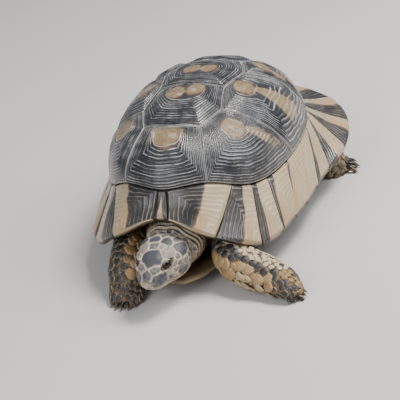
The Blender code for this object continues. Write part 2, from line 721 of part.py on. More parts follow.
def main():
    clear_scene()
    dark_horn = make_material("dark_scute", (0.035, 0.036, 0.040), 0.4)
    pale_horn = make_material("pale_scute", (0.52, 0.38, 0.20), 0.45)
    belly_horn = make_material("plastron_scute", (0.55, 0.42, 0.22), 0.5)
    skin = make_material("skin", (0.30, 0.22, 0.14), 0.8)
    head_skin = make_material("head_skin", (0.16, 0.15, 0.15), 0.65)
    eye = make_material("eye", (0.01, 0.008, 0.006), 0.1)
    make_vertebrals(dark_horn)
    for side, word in ((1, "left"), (-1, "right")):
        make_costals(side, word, dark_horn)
        make_plastron(side, word, belly_horn)
    make_marginals(pale_horn)
    loft("trunk", trunk_rings(), skin)
    body = loft("body_room", trunk_rings(grow=ROOM), skin)
    lobe = lobe_room(skin)
    make_legs((body, girdle_room(skin)), lobe, skin)
    make_neck(body, lobe, skin)
    make_tail(body, skin)
    make_head(head_skin, eye)
    stand_on_origin()


main()
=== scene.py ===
# %% [markdown]
# # A marginated tortoise
#
# This lesson dresses a plain solid model of a marginated tortoise, Testudo marginata, in its looks. The
# solids came from another script and are loaded as a fixed frame. Everything made here is in metres, with
# +Z up. The tortoise faces -Y, and its left side is +X.
#
# The lesson goes from the outside in: the view, the light, the horn scutes of the shell, then one skin for
# all the flesh, the scales on it, the eyes and the claws.

# %% Load the frame
import json
from math import atan2, ceil, cos, degrees, exp, floor, hypot, pi, radians, sin

import bmesh
import bpy
import numpy as np
from mathutils import Matrix, Vector, noise

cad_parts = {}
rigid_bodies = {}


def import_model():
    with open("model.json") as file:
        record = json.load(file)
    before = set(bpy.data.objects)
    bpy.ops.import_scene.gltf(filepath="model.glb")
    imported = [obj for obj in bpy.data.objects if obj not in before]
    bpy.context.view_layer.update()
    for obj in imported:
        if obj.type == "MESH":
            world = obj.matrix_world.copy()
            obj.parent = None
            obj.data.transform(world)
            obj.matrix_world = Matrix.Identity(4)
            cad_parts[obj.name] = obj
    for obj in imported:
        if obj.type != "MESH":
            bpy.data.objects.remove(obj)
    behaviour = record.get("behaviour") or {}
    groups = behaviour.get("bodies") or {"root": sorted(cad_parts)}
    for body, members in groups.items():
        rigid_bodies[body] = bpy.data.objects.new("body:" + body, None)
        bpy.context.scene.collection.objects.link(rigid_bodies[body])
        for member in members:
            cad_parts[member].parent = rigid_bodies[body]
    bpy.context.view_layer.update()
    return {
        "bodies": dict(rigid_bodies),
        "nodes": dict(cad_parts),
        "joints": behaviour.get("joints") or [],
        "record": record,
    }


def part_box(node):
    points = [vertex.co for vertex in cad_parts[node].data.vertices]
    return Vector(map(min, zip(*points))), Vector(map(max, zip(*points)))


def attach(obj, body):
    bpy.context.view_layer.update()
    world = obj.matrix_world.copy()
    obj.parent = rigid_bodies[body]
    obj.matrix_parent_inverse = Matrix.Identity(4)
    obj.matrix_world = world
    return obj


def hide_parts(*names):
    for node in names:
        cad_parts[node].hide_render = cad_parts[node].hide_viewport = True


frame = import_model()
print("nodes:", len(frame["nodes"]))

# %% [markdown]
# The shell was drawn in its own frame, on its midline and with its waist near y = 0. The narrow nuchal scute
# lies on the midline, and the last scute ends at the shell's rear, so those two say where the frame has
# put the shell.

# %% Where the shell stands
SHELL_REAR = 0.137
nuchal_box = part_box("nuchal")
rear_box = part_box("supracaudal")
SHELL_PLACE = Vector(((nuchal_box[0].x + nuchal_box[1].x) / 2, rear_box[1].y - SHELL_REAR, 0))
print("shell placed at", [round(value, 4) for value in SHELL_PLACE])

# %% [markdown]
# The camera looks down at the left front of the animal, as someone standing over it would. Its place is
# given as a turn round the animal, a height above the horizon and a distance from the point it looks at,
# and then it rolls a little to one side.

# %% The camera
VIEW_TURN = radians(24)
VIEW_RISE = radians(28)
VIEW_ROLL = radians(-11.67)
VIEW_DISTANCE = 1.0
VIEW_LENS = 124.3
VIEW_AIM = Vector((0.0152, -0.075, 0.05))


def aim_camera():
    """A camera on a sphere round its aim, rolled about its own line of sight."""
    back = Vector((sin(VIEW_TURN) * cos(VIEW_RISE), -cos(VIEW_TURN) * cos(VIEW_RISE), sin(VIEW_RISE)))
    right = Vector((cos(VIEW_TURN), sin(VIEW_TURN), 0))
    up = back.cross(right)
    turned_right = cos(VIEW_ROLL) * right + sin(VIEW_ROLL) * up
    turned_up = cos(VIEW_ROLL) * up - sin(VIEW_ROLL) * right
    camera = bpy.data.objects.new("camera", bpy.data.cameras.new("camera"))
    camera.data.lens = VIEW_LENS
    camera.data.sensor_width = 36
    camera.data.clip_start = 0.05
    turn = Matrix((turned_right, turned_up, back)).transposed().to_4x4()
    camera.matrix_world = Matrix.Translation(VIEW_AIM + SHELL_PLACE + back * VIEW_DISTANCE) @ turn
    bpy.context.scene.collection.objects.link(camera)
    bpy.context.scene.camera = camera
    return camera


camera = aim_camera()
print("camera", round(degrees(VIEW_TURN)), "degrees round,", VIEW_DISTANCE, "m away")

# %% [markdown]
# A plain pale floor and soft studio light. The horn is dark and glossy, so what it mirrors matters as much
# as what lights it. The key panel overhead shapes the dome, the fill panel in front lights the face, and the
# sheen panel stands on the left, where the side plates of the dome mirror it towards the camera. The world
# adds an even, faintly blue light from all round.

# %% Floor and light
FLOOR_REACH = 6
FLOOR_COLOUR = (0.62, 0.60, 0.57)


def plain_material(name, colour, roughness):
    """A material of one colour, for the studio only."""
    material = bpy.data.materials.new(name)
    material.use_nodes = True
    shader = material.node_tree.nodes["Principled BSDF"]
    shader.inputs["Base Color"].default_value = (*colour, 1)
    shader.inputs["Roughness"].default_value = roughness
    return material


def studio_floor():
    """A wide floor under the soles."""
    bm = bmesh.new()
    bmesh.ops.create_grid(bm, x_segments=1, y_segments=1, size=FLOOR_REACH)
    mesh = bpy.data.meshes.new("floor")
    bm.to_mesh(mesh)
    bm.free()
    mesh.materials.append(plain_material("studio_floor", FLOOR_COLOUR, 0.9))
    floor_piece = bpy.data.objects.new("floor", mesh)
    bpy.context.scene.collection.objects.link(floor_piece)


def panel_light(name, place, size, power, colour=(1, 1, 1)):
    """A soft square panel that faces the animal."""
    light = bpy.data.lights.new(name, "AREA")
    light.shape = "SQUARE"
    light.size = size
    light.energy = power
    light.color = colour
    lamp = bpy.data.objects.new(name, light)
    lamp.location = place
    lamp.rotation_euler = Vector(place).to_track_quat("Z", "Y").to_euler()
    bpy.context.scene.collection.objects.link(lamp)


def studio_world(colour, strength):
    """An even light from all round."""
    world = bpy.data.worlds.new("studio")
    world.use_nodes = True
    background = world.node_tree.nodes["Background"]
    background.inputs["Color"].default_value = (*colour, 1)
    background.inputs["Strength"].default_value = strength
    bpy.context.scene.world = world


studio_floor()
panel_light("key_panel", (0.50, 0.20, 1.15), 0.40, 20, (1, 0.96, 0.90))
panel_light("fill_panel", (-0.35, -1.2, 0.9), 0.9, 11, (0.95, 0.97, 1))
panel_light("sheen_panel", (0.98, 0.20, 0.92), 0.60, 8.5, (0.88, 0.94, 1))
studio_world((0.85, 0.9, 1.0), 0.32)

# %% [markdown]
# ## The shape of the shell
#
# The shell is a dome over a sloping girdle. In plan both are ovals a little squarer than an ellipse, and
# their heights change smoothly on the way round. A few short tables hold those heights, each as pairs of
# an angle from the front and a value, and one function reads a smooth curve through them.

# %% Curves and ovals
SQUARENESS = 2.25
WAIST_Y = 0.003
SEAM_OVAL = (0.0995, 0.0925, 0.072)
RIM_OVAL = (0.125, SHELL_REAR, 0.0908)
HEM_OVAL = (0.103, 0.113, 0.0685)
SHELL_TOP = 0.115
SEAM_HEIGHTS = ((0, 0.0735), (25, 0.0735), (50, 0.0585), (80, 0.0560), (180, 0.054))
RIM_HEIGHTS = ((0, 0.058), (24, 0.044), (42, 0.0265), (65, 0.026), (95, 0.026), (135, 0.0385),
               (180, 0.040))
HEM_HEIGHTS = ((0, 0.058), (24, 0.047), (42, 0.0295), (65, 0.0222), (95, 0.0222), (135, 0.0385),
               (180, 0.040))
RIM_SPREADS = ((0, 1), (45, 1.01), (60, 0.95), (75, 0.925), (90, 0.925), (106, 1.05), (122, 1.12),
               (140, 1.12), (180, 1))
RIM_SWELLS = ((0, -0.0015), (40, -0.001), (75, 0.0015), (95, 0.001), (130, -0.003), (180, -0.0015))
NECK_NOTCH = 0.010
SEAM_PROW = 0.003
NECK_NOTCH_ANGLE = 14
RIM_LIP = 0.0035
PLATE = 0.0028


def smooth_value(x, table):
    """The value at x on a smooth curve through a table's (x, value) pairs."""
    x = min(max(x, table[0][0]), table[-1][0])
    i = max(k for k in range(len(table) - 1) if table[k][0] <= x)

    def slope(k):
        if k in (0, len(table) - 1):
            return 0
        return (table[k + 1][1] - table[k - 1][1]) / (table[k + 1][0] - table[k - 1][0])

    (x0, y0), (x1, y1) = table[i], table[i + 1]
    width = x1 - x0
    t = (x - x0) / width
    rise = y0 * (1 - t) ** 2 * (1 + 2 * t) + y1 * t ** 2 * (3 - 2 * t)
    return rise + width * t * (1 - t) * (slope(i) * (1 - t) - slope(i + 1) * t)


def step(x):
    """A smooth step from 0 at x = 0 to 1 at x = 1."""
    x = min(max(x, 0), 1)
    return x * x * (3 - 2 * x)


def squarish(c, s):
    """How far a squarish unit circle reaches in the direction (c, s)."""
    return (abs(c) ** SQUARENESS + abs(s) ** SQUARENESS) ** (-1 / SQUARENESS)


def oval(angle, sizes):
    """A point on a squarish oval in plan: 0 degrees is the front, 90 the left side, 180 the rear."""
    front, rear, half = sizes
    c, s = cos(radians(angle)), sin(radians(angle))
    k = squarish(c, s)
    reach = front + WAIST_Y if c > 0 else rear - WAIST_Y
    return Vector((half * k * s, WAIST_Y - reach * k * c, 0))


def at_height(point, height):
    """The point, moved up or down to a height."""
    return Vector((point.x, point.y, height))


print("curves ready: top of the shell at", SHELL_TOP)

# %% [markdown]
# The dome is drawn over a flat disc. A place on the disc has p towards the animal's left and q towards
# its rear, and the disc's edge is the seam between dome and girdle. The scutes are outlined on the disc
# and then lifted on to the dome.

# %% Dome surface
def seam_point(angle):
    """The line where the dome meets the marginals."""
    point = at_height(oval(angle, SEAM_OVAL), smooth_value(abs(angle), SEAM_HEIGHTS))
    point.y -= SEAM_PROW * exp(-((angle / NECK_NOTCH_ANGLE) ** 2))
    return point


def rim_point(angle):
    """The free edge of the shell: raised and set back over the neck, flared behind."""
    point = at_height(oval(angle, RIM_OVAL), smooth_value(abs(angle), RIM_HEIGHTS))
    point.x *= smooth_value(abs(angle), RIM_SPREADS)
    point.y += NECK_NOTCH * exp(-((angle / NECK_NOTCH_ANGLE) ** 2))
    return point


def dome_point(p, q):
    """The dome over the disc."""
    radius = min(1 / squarish(p, q) if p or q else 0, 1)
    if radius < 1e-6:
        return Vector((0, WAIST_Y, SHELL_TOP))
    edge = seam_point(degrees(atan2(p, -q)))
    out = sin(radius * pi / 2)
    up = cos(radius * pi / 2)
    return Vector((edge.x * out, WAIST_Y + (edge.y - WAIST_Y) * out, edge.z + (SHELL_TOP - edge.z) * up))


def dome_surface(p, q, lift):
    """A point that lies lift above the dome, along its normal."""
    nudge = 0.004
    shrink = min(1, (1 - nudge) * squarish(p, q)) if p or q else 1
    a, b = p * shrink, q * shrink
    along_p = dome_point(a + nudge / 2, b) - dome_point(a - nudge / 2, b)
    along_q = dome_point(a, b + nudge / 2) - dome_point(a, b - nudge / 2)
    normal = along_q.cross(along_p).normalized()
    normal *= 1 if normal.z > 0 or normal.dot(Vector((a, b, 0))) > 0 else -1
    return dome_point(p, q) + lift * normal


print("dome crown at", [round(value, 3) for value in dome_surface(0, 0, 0)])

# %% [markdown]
# The girdle is a wedge of bone under horn. Its scutes fan outwards, so their side seams meet the dome at
# one angle and the rim at another. A station along the girdle counts the seams: 0 is the front, 1 to 12
# the seams in turn, 13 the rear, and the other side has the same numbers with a minus sign. A place on
# the girdle's top is a station and a share of the way from the dome down to the rim.

# %% Girdle surfaces
HEM_SHARE = 0.45
MARGINAL_SEAMS = ((2.2, 3.4), (37, 24.5), (47, 42.5), (56.5, 54), (71.5, 64), (90, 73), (104.5, 84),
                  (118, 95), (131, 107), (143, 122), (155, 141), (168, 163))


def girdle_angles(station):
    """The angles on the dome and on the rim at a station from 0 to 13."""
    knots = ((0, 0),) + MARGINAL_SEAMS + ((180, 180),)
    i = min(int(station), len(knots) - 2)
    t = station - i
    return tuple(a + (b - a) * t for a, b in zip(knots[i], knots[i + 1]))


def girdle_section(station):
    """A section across the girdle at a signed station: three points on top, and three underneath."""
    side = 1 if 0 <= station <= 13 else -1
    along = abs(station) if station <= 13 else 26 - station
    seam_angle, rim_angle = girdle_angles(along)
    seam, rim = seam_point(seam_angle), rim_point(rim_angle)
    hem = at_height(oval(rim_angle, HEM_OVAL), smooth_value(rim_angle, HEM_HEIGHTS))
    outward = at_height(rim - seam, 0).normalized()
    slope = rim - seam
    level = at_height(slope, 0).length
    normal = Vector((outward.x * -slope.z, outward.y * -slope.z, level)).normalized()
    swell = smooth_value(rim_angle, RIM_SWELLS) * normal
    inward = at_height(seam - Vector((0, WAIST_Y, 0)), 0).normalized()
    low = rim - 0.6 * RIM_LIP * outward - Vector((0, 0, RIM_LIP))

    def place(point):
        return Vector((side * point.x, point.y, point.z))

    under = [place(point) for point in (low, hem, seam - PLATE * inward)]
    return place(seam), place(rim), place(swell), under


SECTIONS_EACH = 16
SECTION_STEPS = range(-14 * SECTIONS_EACH, 15 * SECTIONS_EACH + 1)
SECTIONS = [girdle_section(k / SECTIONS_EACH) for k in SECTION_STEPS]


def section_at(station):
    """The section at a station, between the two nearest that are kept ready."""
    at = (station + 14) * SECTIONS_EACH
    i = int(at)
    first, second = SECTIONS[i], SECTIONS[i + 1]
    top = [a.lerp(b, at - i) for a, b in zip(first[:3], second[:3])]
    return *top, [a.lerp(b, at - i) for a, b in zip(first[3], second[3])]


def girdle_top(station, share):
    """A place on top of the girdle: share is 0 at the dome and 1 at the rim."""
    seam, rim, swell, _ = section_at(station)
    return seam.lerp(rim, share) + sin(pi * share) * swell


def girdle_surface(station, share, lift):
    """A point that lies lift above the top of the girdle, along its normal."""
    nudge = 0.02
    share_in = min(max(share, nudge), 1 - nudge)
    along = girdle_top(station + nudge, share_in) - girdle_top(station - nudge, share_in)
    across = girdle_top(station, share_in + nudge) - girdle_top(station, share_in - nudge)
    normal = along.cross(across).normalized()
    normal *= 1 if normal.z > 0 else -1
    return girdle_top(station, share) + lift * normal


def girdle_underside(station, share):
    """A place under the girdle: from the inner edge at share 0 over the hem to the lip at share 1."""
    low, hem, inner = section_at(station)[3]
    if share < HEM_SHARE:
        return inner.lerp(hem, share / HEM_SHARE)
    return hem.lerp(low, (share - HEM_SHARE) / (1 - HEM_SHARE))


print("girdle rim at the rear:", [round(value, 3) for value in girdle_top(13, 1)])

# %% [markdown]
# ## Scutes
#
# A scute is a plate of horn that grows a new ring round its edge each season. Its oldest part, the areola,
# is off centre: near the rear of the plates on the midline, and high and to the rear on the side plates.
# So a scute is made as nested copies of its own outline that shrink towards the areola, and a ridge of
# horn is raised on every few of them.
#
# Blender's grid operator gives the net. Its columns are bent round the outline and its rows run from under
# the plate, over the edge and in to the areola. The flat grid keeps its own texture coordinates, which
# serve as the plate's map, named OFBake. Each corner of the net also stores how it was made: its
# growth from the areola to the edge, whether it lies on a crest, and how pale or how warm the horn is.

# %% A net of rings
HORN_MARKS = ("growth", "phase", "crest", "pale", "warm")
MERGE = 1e-6


def close_up(bm):
    """Merge a bent grid's seam, fill its open ends, and turn its faces outwards."""
    bmesh.ops.remove_doubles(bm, verts=bm.verts, dist=MERGE)
    bmesh.ops.holes_fill(bm, edges=[edge for edge in bm.edges if edge.is_boundary], sides=0)
    bmesh.ops.recalc_face_normals(bm, faces=bm.faces)


def ring_net(columns, rows, place):
    """A grid bent into a closed plate: place(column, row) gives a point and the marks stored there."""
    bm = bmesh.new()
    bm.loops.layers.uv.new("OFBake")
    bmesh.ops.create_grid(bm, x_segments=columns, y_segments=rows, size=0.5, calc_uvs=True)
    layers = {mark: bm.verts.layers.float.new(mark) for mark in HORN_MARKS}
    for vertex in bm.verts:
        column = round((vertex.co.x + 0.5) * columns) % columns
        row = round((vertex.co.y + 0.5) * rows)
        vertex.co, marks = place(column, row)
        for mark, value in marks.items():
            vertex[layers[mark]] = value
    close_up(bm)
    return bm


def finish_piece(name, bm, material, replaced=()):
    """Turn a bmesh into a piece of the model, standing where the shell stands."""
    bmesh.ops.translate(bm, verts=bm.verts, vec=SHELL_PLACE)
    mesh = bpy.data.meshes.new(name)
    bm.to_mesh(mesh)
    bm.free()
    mesh.shade_smooth()
    mesh.materials.append(material)
    piece = bpy.data.objects.new(name, mesh)
    bpy.context.scene.collection.objects.link(piece)
    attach(piece, "root")
    if replaced:
        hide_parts(*replaced)
    return piece


RIDGE_ROWS = 6
AREOLA_ROWS = 6
SEAM_GAP = 0.0005
GROOVE = 0.0008
CROWN = 0.0019


def ridge_profile(phase):
    """Height across one ridge: a narrow rounded crest between flat furrows."""
    return max(0, cos(2 * pi * (phase - 0.5)) * 0.62 + 0.38) ** 1.6


print("a ring of horn takes", RIDGE_ROWS, "rows of the net")

# %% [markdown]
# The outlines. The corners of the midline plates and side plates are shared, so a few named stations give
# all thirteen. An outline follows the seam between dome and girdle wherever two of its corners are given
# as angles, and goes straight, on the disc, between corners given as points.

# %% Outlines on the dome
SCUTE_EDGE = 0.994
VERTEBRAL_STATIONS = (-0.453, -0.107, 0.25, 0.58)
VERTEBRAL_HALVES = (0.214, 0.237, 0.215, 0.15)
COSTAL_STATIONS = (-0.284, 0.087, 0.42)
COSTAL_HALVES = (0.292, 0.294, 0.27)
COSTAL_ANGLES = (25, 78, 116, 143, 159)
OUTLINE_SPACING = 0.024
SEAM_WANDER = 0.006


def disc_point(angle):
    """The disc's edge at an angle, just inside the seam line."""
    c, s = cos(radians(angle)), sin(radians(angle))
    k = squarish(c, s)
    return (SCUTE_EDGE * k * s, -SCUTE_EDGE * k * c)


def disc_arc(start, end):
    """The disc's edge from one angle to another, without its last point."""
    count = ceil(abs(end - start) / 2.2)
    return [disc_point(start + (end - start) * k / count) for k in range(count)]


def disc_line(start, end):
    """A seam from one corner to the next, without the last: it wanders a little, the same from both sides."""
    length = hypot(end[0] - start[0], end[1] - start[1])
    count = max(3, ceil(length / OUTLINE_SPACING))
    across = Vector((end[1] - start[1], start[0] - end[0])) / length
    across *= 1 if (across.x, across.y) > (0, 0) else -1
    points = []
    for k in range(count):
        t = k / count
        x, y = start[0] + (end[0] - start[0]) * t, start[1] + (end[1] - start[1]) * t
        wander = SEAM_WANDER * sin(pi * t) * noise.noise(Vector((x * 7, y * 7, 0.3)))
        points.append((x + across.x * wander, y + across.y * wander))
    return points


def outline_through(corners):
    """A scute's outline on the disc through corners that are points or angles."""
    points = []
    for here, there in zip(corners, corners[1:] + corners[:1]):
        if isinstance(here, (int, float)) and isinstance(there, (int, float)):
            points += disc_arc(here, there)
        else:
            start = disc_point(here) if isinstance(here, (int, float)) else here
            end = disc_point(there) if isinstance(there, (int, float)) else there
            points += disc_line(start, end)
    return points


def dome_corners(side):
    """The corners between vertebrals, and those between costals, on one side of the midline."""
    shared = [(side * half, at) for half, at in zip(VERTEBRAL_HALVES, VERTEBRAL_STATIONS)]
    waist = [(side * half, at) for half, at in zip(COSTAL_HALVES, COSTAL_STATIONS)]
    return shared, waist


def under_dome(x, y):
    """The underside of a dome scute."""
    return dome_surface(x, y, -PLATE)


print("vertebral corners at stations", VERTEBRAL_STATIONS)

# %% [markdown]
# The colours of the horn. Marginated tortoises are nearly black when old, and keep the tan of their youth
# on the areolas and in bands that run out from them. A band is described by the way it points from the
# areola, how wide it is, and how far out it goes. The edge of the tan is warmer, almost orange.

# %% Markings
def off_bearing(dx, dy, toward):
    """How far the direction (dx, dy) on the disc turns away from a bearing: 0 front, 90 left, 180 rear."""
    turn = degrees(atan2(dx, -dy)) - toward
    return abs((turn + 180) % 360 - 180)


def fade(value, limit, soft):
    """1 well below a limit, 0 well above it, and smooth between."""
    return 1 - step((value - limit + soft / 2) / soft)


def band(dx, dy, growth, toward, half_width, reach):
    """A band that runs out from the areola."""
    return fade(off_bearing(dx, dy, toward), half_width, half_width * 0.5) * fade(growth, reach, 0.3)


def mottle(dx, dy, growth):
    """Slow irregularity that breaks up the edges of the markings."""
    coarse = noise.noise(Vector((dx * 9, dy * 9, growth * 6)))
    return 0.05 * coarse + 0.035 * noise.noise(Vector((dx * 34, dy * 34, 3.1)))


def spot_marks(spots, bands=()):
    """A painter for a dark plate: pale spots (dx, dy, half width, half height), and bands from the areola."""
    def paint(dx, dy, growth):
        blur = mottle(dx, dy, max(growth, 0))
        pale = 0
        for x, y, width, height in spots:
            away = hypot((dx - x) / width, (dy - y) / height) + 5 * blur
            pale = 1 - (1 - pale) * (1 - fade(away, 1.02, 0.85))
        for toward, half_width, reach in bands:
            pale = max(pale, 0.85 * band(dx, dy, max(growth, 0) + 3 * blur, toward, half_width, reach))
        lower = step(-dy / 0.05)
        blush = max(noise.noise(Vector((dx * 30, dy * 30, 4))), 0)
        warm = 1.5 * pale * (1 - pale) * (0.35 + 0.65 * lower) + 0.25 * pale * blush
        return pale, min(warm, 1)
    return paint


print("horn at a spot's middle:", spot_marks([(0, 0, 0.1, 0.1)])(0, 0, 0))

# %% [markdown]
# One group of nodes makes the surface of all the horn. It takes a colour for old dark horn and one for pale
# horn, lightens the crests where dust and wear have greyed them, draws finer lines between the ridges, and
# roughens all of it with a fine grain. The marks stored on the net drive it, so the same group serves the
# dome, the girdle and the underside with other colours.

# %% Horn
def value_socket(group, name, direction, kind="NodeSocketFloat", default=None):
    """A named input or output of a node group."""
    socket = group.interface.new_socket(name=name, in_out=direction, socket_type=kind)
    if default is not None:
        socket.default_value = default


def add_node(tree, kind, settings=None, **inputs):
    """A node with its inputs joined or set. An input is a value, or a socket to join."""
    node = tree.nodes.new(kind)
    for name, value in (settings or {}).items():
        setattr(node, name, value)
    for name, value in inputs.items():
        key = int(name[1:]) if name[0] == "i" and name[1:].isdigit() else name.replace("_", " ")
        if isinstance(value, bpy.types.NodeSocket):
            tree.links.new(value, node.inputs[key])
        else:
            node.inputs[key].default_value = value
    return node


def mix_colour(tree, factor, first, second):
    """The colour between two colours."""
    node = tree.nodes.new("ShaderNodeMix")
    node.data_type = "RGBA"
    for index, value in ((0, factor), (6, first), (7, second)):
        if isinstance(value, bpy.types.NodeSocket):
            tree.links.new(value, node.inputs[index])
        else:
            node.inputs[index].default_value = (*value, 1) if index else value
    return node.outputs[2]


def math_value(tree, operation, first, second=0.0, clamp=False):
    """One sum on two values."""
    settings = {"operation": operation, "use_clamp": clamp}
    return add_node(tree, "ShaderNodeMath", settings, i0=first, i1=second).outputs[0]


def swing(tree, value, amount):
    """A noise round 0.5 turned into a swing round 0."""
    return math_value(tree, "MULTIPLY", math_value(tree, "SUBTRACT", value, 0.5), amount)


def cloudy(tree, place, scale, detail, roughness):
    """A slow or fine noise at a place."""
    return add_node(tree, "ShaderNodeTexNoise", Vector=place, Scale=scale, Detail=detail,
                    Roughness=roughness).outputs["Fac"]


def remap(tree, value, low, high, new_low=0.0, new_high=1.0):
    """A value moved from one range to another, smoothly and within its ends."""
    return add_node(tree, "ShaderNodeMapRange", {"interpolation_type": "SMOOTHSTEP"}, i0=value, i1=low,
                    i2=high, i3=new_low, i4=new_high).outputs[0]


def stored(tree, mark):
    """A mark that the net stores."""
    return add_node(tree, "ShaderNodeAttribute", {"attribute_name": mark}).outputs["Fac"]


def surface_group(name, colours, values):
    """A group with its named inputs and three outputs: the group, both of its ends, and its place."""
    group = bpy.data.node_groups.new(name, "ShaderNodeTree")
    for colour in colours:
        value_socket(group, colour, "INPUT", "NodeSocketColor")
    for value, usual in values.items():
        value_socket(group, value, "INPUT", default=usual)
    for output in ("Roughness", "Height"):
        value_socket(group, output, "OUTPUT")
    value_socket(group, "Color", "OUTPUT", "NodeSocketColor")
    given = group.nodes.new("NodeGroupInput").outputs
    made = group.nodes.new("NodeGroupOutput").inputs
    place = group.nodes.new("ShaderNodeTexCoord").outputs["Object"]
    return group, given, made, place


def make_ridged_horn():
    """The group: colour, roughness and fine height of ridged horn."""
    usual = {"Crest Wear": 0.6, "Furrow Depth": 0.6, "Seam Start": 0.94}
    group, given, made, place = surface_group("ridged_horn", ("Dark", "Pale", "Warm", "Crest", "Seam"), usual)
    patches = cloudy(group, place, 55.0, 5.0, 0.6)
    grain = cloudy(group, place, 420.0, 4.0, 0.7)
    turn = math_value(group, "MULTIPLY", math_value(group, "SUBTRACT", stored(group, "phase"), 0.5), 2 * pi)
    ridge = remap(group, math_value(group, "COSINE", turn), 0.25, 0.95)
    fine = remap(group, math_value(group, "COSINE", math_value(group, "MULTIPLY", turn, 4.0)), 0.3, 1.0)
    lines = math_value(group, "MAXIMUM", math_value(group, "MULTIPLY", ridge, stored(group, "crest")),
                       math_value(group, "MULTIPLY", fine, 0.30))
    pale = stored(group, "pale")
    mask = remap(group, math_value(group, "ADD", pale, swing(group, patches, 0.55)), 0.30, 0.70)
    dark = mix_colour(group, remap(group, patches, 0.35, 0.7), given["Dark"], given["Crest"])
    dark = mix_colour(group, 0.92, dark, given["Dark"])
    furrow = mix_colour(group, given["Furrow Depth"], given["Pale"], given["Dark"])
    warmth = math_value(group, "MULTIPLY", given["Furrow Depth"], 0.4)
    furrow = mix_colour(group, warmth, furrow, given["Warm"])
    uneven = math_value(group, "MULTIPLY", patches, 1.2)
    shade = remap(group, math_value(group, "ADD", lines, uneven), 0.40, 1.15)
    colour = mix_colour(group, mask, dark, mix_colour(group, shade, furrow, given["Pale"]))
    speckle = remap(group, grain, 0.3, 0.65, 0.5, 1.0)
    rosy = math_value(group, "MULTIPLY", stored(group, "warm"), speckle, True)
    colour = mix_colour(group, rosy, colour, given["Warm"])
    crest = remap(group, math_value(group, "ADD", lines, swing(group, grain, 0.8)), 0.25, 0.85)
    crest = math_value(group, "MULTIPLY", crest, given["Crest Wear"])
    crest = math_value(group, "MULTIPLY", crest, remap(group, patches, 0.25, 0.65, 0.40, 1.0))
    crest = math_value(group, "MULTIPLY", crest, remap(group, mask, 0.0, 1.0, 1.0, 0.45))
    colour = mix_colour(group, crest, colour, given["Crest"])
    rim = remap(group, stored(group, "growth"), given["Seam Start"], 0.99)
    rim = math_value(group, "MULTIPLY", rim, remap(group, patches, 0.3, 0.6, 0.25, 0.85))
    colour = mix_colour(group, rim, colour, given["Seam"])
    group.links.new(colour, made["Color"])
    rough = remap(group, grain, 0.3, 0.7, 0.30, 0.50)
    worn = math_value(group, "MULTIPLY", crest, 0.15)
    group.links.new(math_value(group, "ADD", rough, worn), made["Roughness"])
    raised = math_value(group, "MULTIPLY", lines, 0.9)
    gritty = math_value(group, "MULTIPLY", grain, 0.5)
    group.links.new(math_value(group, "ADD", raised, gritty), made["Height"])
    return group


RIDGED_HORN = make_ridged_horn()


def group_material(name, group, colours, values, bump=0.4, distance=0.0003):
    """A material from a surface group, with its colours and values set."""
    material = bpy.data.materials.new(name)
    material.use_nodes = True
    tree = material.node_tree
    shader = tree.nodes["Principled BSDF"]
    surface = tree.nodes.new("ShaderNodeGroup")
    surface.node_tree = group
    for socket, colour in colours.items():
        surface.inputs[socket].default_value = (*colour, 1)
    for socket, value in values.items():
        surface.inputs[socket].default_value = value
    tree.links.new(surface.outputs["Color"], shader.inputs["Base Color"])
    tree.links.new(surface.outputs["Roughness"], shader.inputs["Roughness"])
    node = add_node(tree, "ShaderNodeBump", Strength=bump, Distance=distance,
                    Height=surface.outputs["Height"])
    tree.links.new(node.outputs["Normal"], shader.inputs["Normal"])
    return material


def horn_material(name, colours, values, bump=0.35, coat=0.25):
    """Horn in one set of colours, under a thin coat of polish."""
    material = group_material(name, RIDGED_HORN, colours, values, bump, 0.0004)
    shader = material.node_tree.nodes["Principled BSDF"]
    shader.inputs["Specular IOR Level"].default_value = 0.35
    shader.inputs["Coat Weight"].default_value = coat
    shader.inputs["Coat Roughness"].default_value = 0.15
    return material


DOME_HORN = horn_material("dome_horn", {
    "Dark": (0.009, 0.0105, 0.015), "Pale": (0.30, 0.242, 0.14), "Warm": (0.38, 0.18, 0.08),
    "Crest": (0.52, 0.51, 0.49), "Seam": (0.52, 0.50, 0.47)},
    {"Crest Wear": 0.8, "Furrow Depth": 0.6, "Seam Start": 0.94}, coat=0.6)
GIRDLE_HORN = horn_material("girdle_horn", {
    "Dark": (0.016, 0.016, 0.019), "Pale": (0.49, 0.385, 0.24), "Warm": (0.46, 0.25, 0.11),
    "Crest": (0.58, 0.50, 0.38), "Seam": (0.025, 0.020, 0.016)},
    {"Crest Wear": 0.32, "Furrow Depth": 0.26, "Seam Start": 0.965}, bump=0.22, coat=0.45)
BELLY_HORN = horn_material("belly_horn", {
    "Dark": (0.035, 0.030, 0.026), "Pale": (0.50, 0.36, 0.17), "Warm": (0.42, 0.22, 0.08),
    "Crest": (0.45, 0.34, 0.20), "Seam": (0.16, 0.11, 0.06)},
    {"Crest Wear": 0.25, "Furrow Depth": 0.5, "Seam Start": 0.94})
print("horn materials:", DOME_HORN.name, GIRDLE_HORN.name, BELLY_HORN.name)

# %% [markdown]
# The thirteen plates of the dome. Each has its own growth centre and areola, given by its half width and
# by how far it reaches to the front and to the rear. The rings crowd together behind the areola and spread
# out in front of it, as they do on a real shell.

# %% Dome scutes
AREOLA_SQUARENESS = 2.8
DOME_RIDGE = 0.00045
UNDER_SHARES = (0.75, 0.93, 1)
AREOLA_LINES = 0.25
AREOLA_CREST = 0.25
AREOLA_LEAST = 0.03
RING_WAVER = 0.45
AREOLA_WAVER = 1.1
REACH_LEAST = 0.006
REACH_FULL = 0.010


